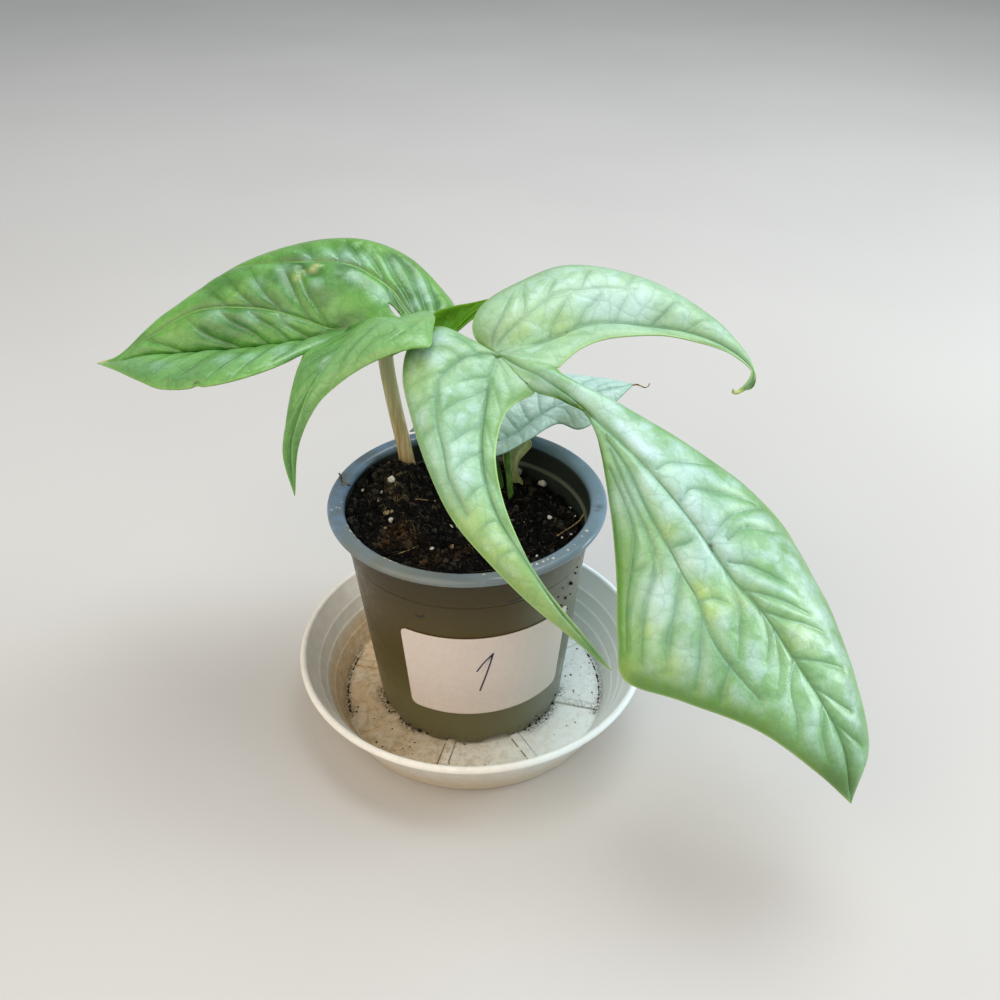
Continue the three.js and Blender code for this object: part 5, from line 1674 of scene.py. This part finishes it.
def label_place(across, up):
    """Place on the pot's cone: across and up the label, in millimetres from its corner."""
    z = LABEL_BOTTOM + up
    radius = pot_radius(z) + LABEL_GAP + LABEL_THICKNESS / 2
    middle = pot_radius(LABEL_BOTTOM + LABEL_SIZE[1] / 2)
    angle = math.radians(LABEL_MIDDLE_ANGLE) + (across - LABEL_SIZE[0] / 2) / middle
    return np.stack([*about_axis(radius, angle), z], axis=-1)


class PLANT_OT_label(bpy.types.Operator):
    """Build the paper label with a numeral in pen"""
    bl_idname = "plant.label"
    bl_label = "Label"

    def execute(self, context):
        width, height = LABEL_SIZE
        across = width * (0.5 - 0.5 * np.cos(np.linspace(0, np.pi, 19)))
        middle = np.arange(4, width - 3.9, 0.6)
        across = np.unique(np.concatenate([across[across < 4], middle, across[across > width - 4]]))
        edge = np.clip(np.minimum(across, width - across), 0, LABEL_CORNER)
        inset = LABEL_CORNER - np.sqrt(LABEL_CORNER**2 - (LABEL_CORNER - edge) ** 2)
        up = inset[:, None] + (height - 2 * inset)[:, None] * np.linspace(0, 1, 81)[None, :]
        points, faces, _ = join_grids([label_place(across[:, None], up)], [False])
        stroke = nearest_seen(points, NUMERAL_STROKE)
        parts = (stroke[:NUMERAL_TURN + 1], stroke[NUMERAL_TURN:])
        strokes = [(1.0, smooth_line(part, 6)) for part in parts]
        to_pen, pen, _ = nearest_on_lines(points, strokes)
        shell, shell_faces = thicken(points, faces, LABEL_THICKNESS)

        paper = Finish("label_paper_skin", Specular_IOR_Level=0.25)
        cloudy = paper.mottle((2.2, 5, 0.65), 0.3, 0.7)
        paper.color = paper.mix(cloudy, paint(221, 208, 199), paint(227, 214, 205))
        x, _, _ = paper.axes()
        # Painted shade: greyer towards the right of the label, where less light falls on it.
        paper.tint(paper.span(x, 5, 36, 0.0, 0.6), paint(178, 180, 172))
        paper.tint(paper.line("pen", 0.3, 0.3), paint(30, 28, 66))
        material = paper.done(0.72, paper.bump(paper.noise(0.5, 3), 0.03, 0.5))
        fields = {"pen": np.tile(pen, 2), "to_pen": np.vstack([to_pen, to_pen])}
        make_piece("label", shell, shell_faces, material, ("label",), fields)
        return {"FINISHED"}


# Soil


def heap(x, y, middle_x, middle_y, rise, spread):
    """A round heap: rise exp(-d^2 / (2 spread^2))."""
    return rise * np.exp(-0.5 * ((x - middle_x) ** 2 + (y - middle_y) ** 2) / spread**2)


def soil_height(x, y):
    """Slope, heaps, a slow wave and half-round clods, as in the solid."""
    height = SOIL_LEVEL + SOIL_SLOPE * x
    for place in SOIL_HEAPS:
        height = height + heap(x, y, *place)
    height = height + 0.9 * np.sin(0.43 * x + 1.3) * np.cos(0.37 * y) + 0.5 * np.sin(0.9 * x - 0.7 * y)
    for middle_x, middle_y, radius in CLODS:
        away = np.hypot(x - middle_x, y - middle_y) / radius
        height = height + 0.75 * radius * np.sqrt(np.clip(1 - away**2, 0, 1))
    return height


def rough_soil(x, y):
    """The same with finer lumps, and loose soil pushed up against the wall at the left."""
    detail = sum(heap(x, y, *place) for place in LOOSE_HEAPS)
    for rise, size, seed in SOIL_GRAIN:
        detail = detail + rise * value_noise(x, y, size, seed)
    return soil_height(x, y) + detail


def lumps(centres, radii, seed, rough=0.35, flatten=0.75):
    """Small uneven stones: one octahedron split once, stretched, turned and dented."""
    draw = np.random.default_rng(seed)
    corners = np.array([(1, 0, 0), (-1, 0, 0), (0, 1, 0), (0, -1, 0), (0, 0, 1), (0, 0, -1)], dtype=float)
    around = ((0, 2), (2, 1), (1, 3), (3, 0))
    sides = np.array([(a, b, 4) for a, b in around] + [(b, a, 5) for a, b in around])
    split = np.vstack([corners[sides[:, k]] + corners[sides[:, (k + 1) % 3]] for k in range(3)])
    soup = np.vstack([corners, split / np.linalg.norm(split, axis=1, keepdims=True)])
    unique, inverse = np.unique(np.round(soup, 6), axis=0, return_inverse=True)
    inverse = inverse.reshape(-1)
    a, b, c = (inverse[sides[:, k]] for k in range(3))
    ab, bc, ca = (inverse[6 + 8 * k:14 + 8 * k] for k in range(3))
    base = np.vstack([np.stack(t, axis=1) for t in ((a, ab, ca), (ab, b, bc), (ca, bc, c), (ab, bc, ca))])
    count = len(centres)
    size = radii[:, None, None] * (0.6 + 0.8 * draw.random((count, 1, 3)))
    size[:, :, 2] *= flatten
    dent = 1 + rough * (draw.random((count, len(unique), 1)) - 0.5) * 2
    shape = unique[None] * size * dent
    turn = 2 * np.pi * draw.random(count)[:, None]
    tip = (draw.random(count)[:, None] - 0.5) * 1.4
    x, y, z = shape[..., 0], shape[..., 1], shape[..., 2]
    y, z = y * np.cos(tip) - z * np.sin(tip), y * np.sin(tip) + z * np.cos(tip)
    x, y = x * np.cos(turn) - y * np.sin(turn), x * np.sin(turn) + y * np.cos(turn)
    points = np.stack([x, y, z], axis=-1) + centres[:, None, :]
    faces = base[None] + (np.arange(count) * len(unique))[:, None, None]
    return points.reshape(-1, 3), faces.reshape(-1, 3), len(unique)


class SoilSettings(bpy.types.PropertyGroup):
    """Numbers of loose pieces in the soil"""
    crumbs: bpy.props.IntProperty(name="Crumbs", description="Loose crumbs on the soil", default=4600, min=0)
    fibres: bpy.props.IntProperty(name="Fibres", description="Thin fibres in the soil", default=560, min=0)


def on_soil(spots):
    """Points on the soil's surface that the photograph's pixels look at."""
    grid = np.linspace(-SOIL_RADIUS, SOIL_RADIUS, 330)
    x, y = np.meshgrid(grid + POT_CENTRE[0], grid + POT_CENTRE[1])
    inside = off_centre(x, y) < SOIL_RADIUS - 0.5
    return nearest_seen(np.stack([x[inside], y[inside], rough_soil(x[inside], y[inside])], axis=1), spots)


def brown_share(places):
    """How brown the soil is: a sum of share exp(-(d/radius)^2) over the brown places."""
    total = np.zeros(len(places))
    browns = np.array(BROWN_PLACES)
    for spot, (radius, share) in zip(on_soil(browns[:, :2]), browns[:, 2:]):
        total += share * bell(np.linalg.norm(places - spot, axis=1), radius)
    return np.clip(total, 0, 1)


def soil_bed():
    """The soil's plug, which narrows downwards, with a rough top."""
    floor = POT_BASE + POT_FLOOR_LIFT + POT_WALL + 0.3
    inner = pot_radius(floor) - POT_WALL - 0.6
    inward = np.concatenate([[SOIL_RADIUS], np.linspace(SOIL_RADIUS - 0.4, 0, 120)])
    profile = np.vstack([[(0, floor), (inner - 2.4, floor), (inner - 0.6, floor + 2.4)],
                         np.stack([inward, np.full(len(inward), SOIL_LEVEL)], axis=1)])
    grid = lathe(profile, 300, POT_CENTRE)
    x, y = grid[:, 3:, 0], grid[:, 3:, 1]
    near_wall = np.clip((off_centre(x, y) / SOIL_RADIUS - 0.9) / 0.1, 0, 1)
    grid[:, 3:, 2] = rough_soil(x, y) + 1.5 * near_wall * value_noise(x, y, 3.0, 8)
    points, faces, _ = join_grids([grid], [False])

    skin = Finish("soil_skin", Specular_IOR_Level=0.12)
    skin.color = skin.mix(skin.mottle((3, 5, 0.7), 0.35, 0.7), paint(4, 5, 6), paint(24, 23, 20))
    skin.tint(skin.times(skin.field("brown"), skin.mottle((1.2, 3, 0.7), 0.4, 0.6)), paint(50, 36, 22))
    material = skin.done(0.95, skin.bump(skin.noise(0.8, 5, 0.75), 0.8, 0.8))
    make_piece("soil", points, faces, material, ("soil",), {"brown": brown_share(points)})


def soil_bank(draw):
    """Centres of the crumbs that are heaped on the ledge along the left wall."""
    count, first, last, low, high, rise = BANK
    angle, share = np.radians(first + (last - first) * draw.random(count)), draw.random(count)
    fade = np.clip(1.6 * np.sin(np.pi * (np.degrees(angle) - first) / (last - first)), 0, 1)
    x, y = about_axis(low + (high - low) * share, angle)
    z = soil_height(x, y) + rise * share * fade * (0.7 + 0.3 * draw.random(count))
    return np.stack([x, y, z], axis=1)


def soil_crumbs(draw, count, clod):
    """Crumbs all over the soil, larger lumps and the bank, lighter about the clod."""
    angle, reach = 2 * np.pi * draw.random(count), (SOIL_RADIUS - 0.8) * np.sqrt(draw.random(count))
    x, y = about_axis(reach, angle)
    radii = 0.3 + 1.1 * draw.random(count) ** 3.5
    large = np.array(LARGE_LUMPS)
    shade = np.concatenate([draw.random(count) ** 4, np.full(len(large), 0.5)])
    bank_draw = np.random.default_rng(SEED + 9)
    bank = soil_bank(bank_draw)
    scattered = np.stack([x, y, rough_soil(x, y) + 0.15 * radii], axis=1)
    centres = np.vstack([scattered, on_soil(large[:, :2]), bank])
    radii = np.concatenate([radii, large[:, 2], 0.6 + 0.9 * bank_draw.random(len(bank)) ** 2])
    shade = np.concatenate([shade, bank_draw.random(len(bank)) ** 4])
    on_clod = bell(np.linalg.norm(centres - clod, axis=1), CLOD_REACH)
    shade = np.clip(shade + CLOD_TONE * on_clod * bank_draw.random(len(shade)), 0, 1)
    points, faces, each = lumps(centres, radii, SEED + 1)

    skin = Finish("crumb_skin", Specular_IOR_Level=0.15)
    skin.color = skin.mix(skin.field("shade"), paint(4, 5, 6), paint(68, 65, 58))
    warm = skin.times(skin.field("brown"), skin.mottle((2, 3, 0.6), 0.38, 0.6))
    skin.tint(skin.times(warm, 0.8), paint(96, 70, 42))
    skin.tint(skin.mottle((0.7, 3), 0.5, 0.7, 0.0, 0.5), paint(16, 14, 12))
    material = skin.done(0.95, skin.bump(skin.noise(0.4, 3, 0.7), 0.2, 0.7))
    fields = {"shade": np.repeat(shade, each), "brown": np.repeat(brown_share(centres), each)}
    make_piece("soil_crumbs", points, faces, material, (), fields, smooth=False)


def soil_bits():
    """White grains, chips of bark and twigs."""
    grains = np.array(WHITE_GRAINS)
    radii = grains[:, 2]
    centres = on_soil(grains[:, :2]) + np.stack([0 * radii, 0 * radii, 0.35 * radii], axis=1)
    points, faces, _ = lumps(centres, radii, SEED + 2, 0.2, 0.85)
    relief = ((0.5, 4, 0.7), 0.25, 0.8)
    white = plain_skin("white_grain_skin", 0.4, (0.8, 4, 0.7), (0.4, 0.7), (236, 234, 226), (176, 170, 156),
                       0.8, relief)
    make_piece("white_grains", points, faces, white)

    bits = np.array(TAN_BITS)
    points, faces, _ = lumps(on_soil(bits[:, :2]), bits[:, 2], SEED + 3, 0.3, 0.5)
    thickness = 0.22 + 0.07 * np.sin(np.arange(14))
    grids = [sweep(even_line(on_soil(path) + np.array([0, 0, 0.5]), 14), thickness, 7) for path in TWIGS]
    leaning = [on_level(((x, y),), z)[0] for x, y, z in LEANING_TWIG]
    grids.append(sweep(even_line(leaning, 24), 0.3 + 0.08 * np.sin(np.arange(24)), 7))
    twig_points, twig_faces, _ = join_grids(grids, [False] * len(grids))
    faces = np.vstack([faces, twig_faces + len(points)])
    bark = plain_skin("bark_bit_skin", 0.3, (1.2, 4, 0.7), (0.35, 0.65), (110, 92, 62), (178, 154, 116),
                      0.85, relief)
    make_piece("twigs_and_bark", np.vstack([points, twig_points]), faces, bark)


def soil_fibres(draw, count, clod):
    """Thin bent fibres: two of three anywhere, the third on a heap, the last ones on the
    clod; and the strand over the rim."""
    strand = even_line(on_level(RIM_TWIG, POT_TOP + 0.35), 14)
    strand[:, 2] += 0.5 * np.abs(np.sin(np.arange(14) * 1.3))
    hairs = [sweep(strand, np.full(14, 0.4), 6)]
    heaps = np.array(SOIL_HEAPS)[[0, 1, 2, 0]]
    share = np.linspace(0, 1, 5)
    for i in range(count + CLOD_FIBRES):
        if i >= count:
            start = clod[:2] + 0.6 * CLOD_REACH * draw.normal(size=2)
        elif i % 3:
            angle, reach = 2 * np.pi * draw.random(), (SOIL_RADIUS - 4) * math.sqrt(draw.random())
            start = np.array(POT_CENTRE) + (reach * math.cos(angle), reach * math.sin(angle))
        else:
            x, y, _, spread = heaps[draw.integers(len(heaps))]
            start = np.array([x, y]) + 0.8 * spread * draw.normal(size=2)
        heading = 2 * np.pi * draw.random()
        length = 2 + 7 * draw.random() ** 2
        bend = 1.3 * (draw.random() - 0.5)
        x = start[0] + length * share * np.cos(heading + bend * share)
        y = start[1] + length * share * np.sin(heading + bend * share)
        if not (off_centre(x, y) < SOIL_RADIUS - 1).all():
            continue
        rise = 0.2 + 1.3 * draw.random() * np.sin(np.pi * share)
        path = np.stack([x, y, rough_soil(x, y) + rise], axis=1)
        hairs.append(sweep(path, np.full(5, 0.08 if i < count else 0.11), 4))
    points, faces, _ = join_grids(hairs, [False] * len(hairs))
    skin = plain_skin("fibre_skin", 0.2, (4, 3), (0.46, 0.66), (34, 30, 24), (128, 112, 86), 0.85)
    make_piece("soil_fibres", points, faces, skin)


class PLANT_OT_soil(bpy.types.Operator):
    """Build the soil with its lumps, crumbs, fibres, white grains and twigs"""
    bl_idname = "plant.soil"
    bl_label = "Soil"

    def execute(self, context):
        settings = context.scene.plant_soil
        draw = np.random.default_rng(SEED)
        clod = on_soil((CLOD_PIXEL,))[0]
        soil_bed()
        soil_crumbs(draw, settings.crumbs, clod)
        soil_bits()
        soil_fibres(draw, settings.fibres, clod)
        return {"FINISHED"}


# Stage


class StageSettings(bpy.types.PropertyGroup):
    """Strengths of the lights"""
    key_power: bpy.props.FloatProperty(
        name="Key light", description="Power of the main soft light", default=29.0, min=0, unit="POWER")
    fill_power: bpy.props.FloatProperty(
        name="Fill light", description="Power of the weaker soft light", default=13.0, min=0, unit="POWER")
    side_power: bpy.props.FloatProperty(
        name="Side light", description="Power of the cool light from the right", default=8.0, min=0,
        unit="POWER")
    world_strength: bpy.props.FloatProperty(
        name="Surround", description="Strength of the even light from all round", default=0.47, min=0)


def add_light(name, place, target, size, power, tint):
    """A square lamp at a place, in metres, turned to its target."""
    light = bpy.data.lights.new(name, "AREA")
    light.shape = "SQUARE"
    light.size = size
    light.energy = power
    light.color = tint
    lamp = bpy.data.objects.new(name, light)
    lamp.location = place
    aim = np.array(target) - np.array(place)
    flat = math.hypot(aim[0], aim[1])
    lamp.rotation_euler = (math.atan2(flat, -aim[2]), 0, math.atan2(-aim[0], aim[1]))
    bpy.context.scene.collection.objects.link(lamp)


class PLANT_OT_stage(bpy.types.Operator):
    """Build the pale floor, the soft lights and the camera"""
    bl_idname = "plant.stage"
    bl_label = "Stage"

    def execute(self, context):
        settings = context.scene.plant_stage
        scene = context.scene
        scene.view_settings.view_transform = "Standard"
        side = (-FLOOR_REACH, FLOOR_REACH)
        mesh = bpy.data.meshes.new("floor")
        mesh.from_pydata([(x, y, 0) for x in side for y in side], [], [(0, 2, 3, 1)])
        floor = bpy.data.objects.new("floor", mesh)
        scene.collection.objects.link(floor)
        matt = plain_skin("floor_skin", 0.2, (400, 2), (0.3, 0.7), (198, 196, 193), (202, 200, 197), 0.9)
        floor.data.materials.append(matt)

        world = bpy.data.worlds.new("surround")
        world.use_nodes = True
        background = next(node for node in world.node_tree.nodes if node.type == "BACKGROUND")
        background.inputs["Color"].default_value = (*paint(236, 240, 246), 1)
        background.inputs["Strength"].default_value = settings.world_strength
        scene.world = world
        add_light("key", (0.5, 0.5, 2.0), (0, 0, 0.1), 1.5, settings.key_power, (0.90, 0.96, 1.0))
        add_light("side", (1.2, 0.1, 0.5), (0, 0, 0.05), 0.6, settings.side_power, (0.86, 0.95, 1.0))
        add_light("fill", (-0.7, -0.8, 1.0), (0, 0, 0.1), 1.6, settings.fill_power, (1.0, 0.82, 0.60))

        lens = bpy.data.cameras.new("camera")
        lens.sensor_width = SENSOR_WIDTH
        lens.lens = SENSOR_WIDTH * FOCAL_PIXELS / PHOTO_PIXELS
        lens.clip_start = 0.01
        camera = bpy.data.objects.new("camera", lens)
        camera.location = tuple(value * MM for value in CAMERA_PLACE)
        camera.rotation_euler = (math.radians(90 - CAMERA_PITCH), 0, -math.radians(CAMERA_YAW))
        scene.collection.objects.link(camera)
        scene.camera = camera
        return {"FINISHED"}


class PLANT_PT_panel(bpy.types.Panel):
    """Lists the plant's pieces and their settings"""
    bl_label = "Plant"
    bl_idname = "PLANT_PT_panel"
    bl_space_type = "VIEW_3D"
    bl_region_type = "UI"
    bl_category = "Plant"

    def draw(self, context):
        for kind in PIECE_OPERATORS:
            self.layout.operator(kind.bl_idname)
        for group in SETTINGS:
            settings = getattr(context.scene, group)
            box = self.layout.box()
            for name in settings.bl_rna.properties.keys():
                if name not in ("rna_type", "name"):
                    box.prop(settings, name)


PIECE_OPERATORS = (
    PLANT_OT_stage, PLANT_OT_saucer, PLANT_OT_pot, PLANT_OT_label, PLANT_OT_soil,
    PLANT_OT_stalks, PLANT_OT_left_leaf, PLANT_OT_right_leaf, PLANT_OT_small_leaves,
)
SETTINGS = {
    "plant_leaves": LeafSettings,
    "plant_pot": PotSettings,
    "plant_soil": SoilSettings,
    "plant_stage": StageSettings,
}
CLASSES = (*SETTINGS.values(), *PIECE_OPERATORS, PLANT_PT_panel)


def register():
    """Registers the classes and hangs the settings on the scene"""
    for kind in CLASSES:
        bpy.utils.register_class(kind)
    for name, kind in SETTINGS.items():
        setattr(bpy.types.Scene, name, bpy.props.PointerProperty(type=kind))


def unregister():
    """Takes the settings and the classes away again"""
    for name in SETTINGS:
        delattr(bpy.types.Scene, name)
    for kind in reversed(CLASSES):
        bpy.utils.unregister_class(kind)


def main():
    """Builds every piece in order"""
    register()
    bpy.ops.plant.stage()
    bpy.ops.plant.saucer()
    bpy.ops.plant.pot()
    bpy.ops.plant.label()
    bpy.ops.plant.soil()
    bpy.ops.plant.stalks()
    bpy.ops.plant.left_leaf()
    bpy.ops.plant.right_leaf()
    bpy.ops.plant.small_leaves()


if __name__ == "__main__":
    main()
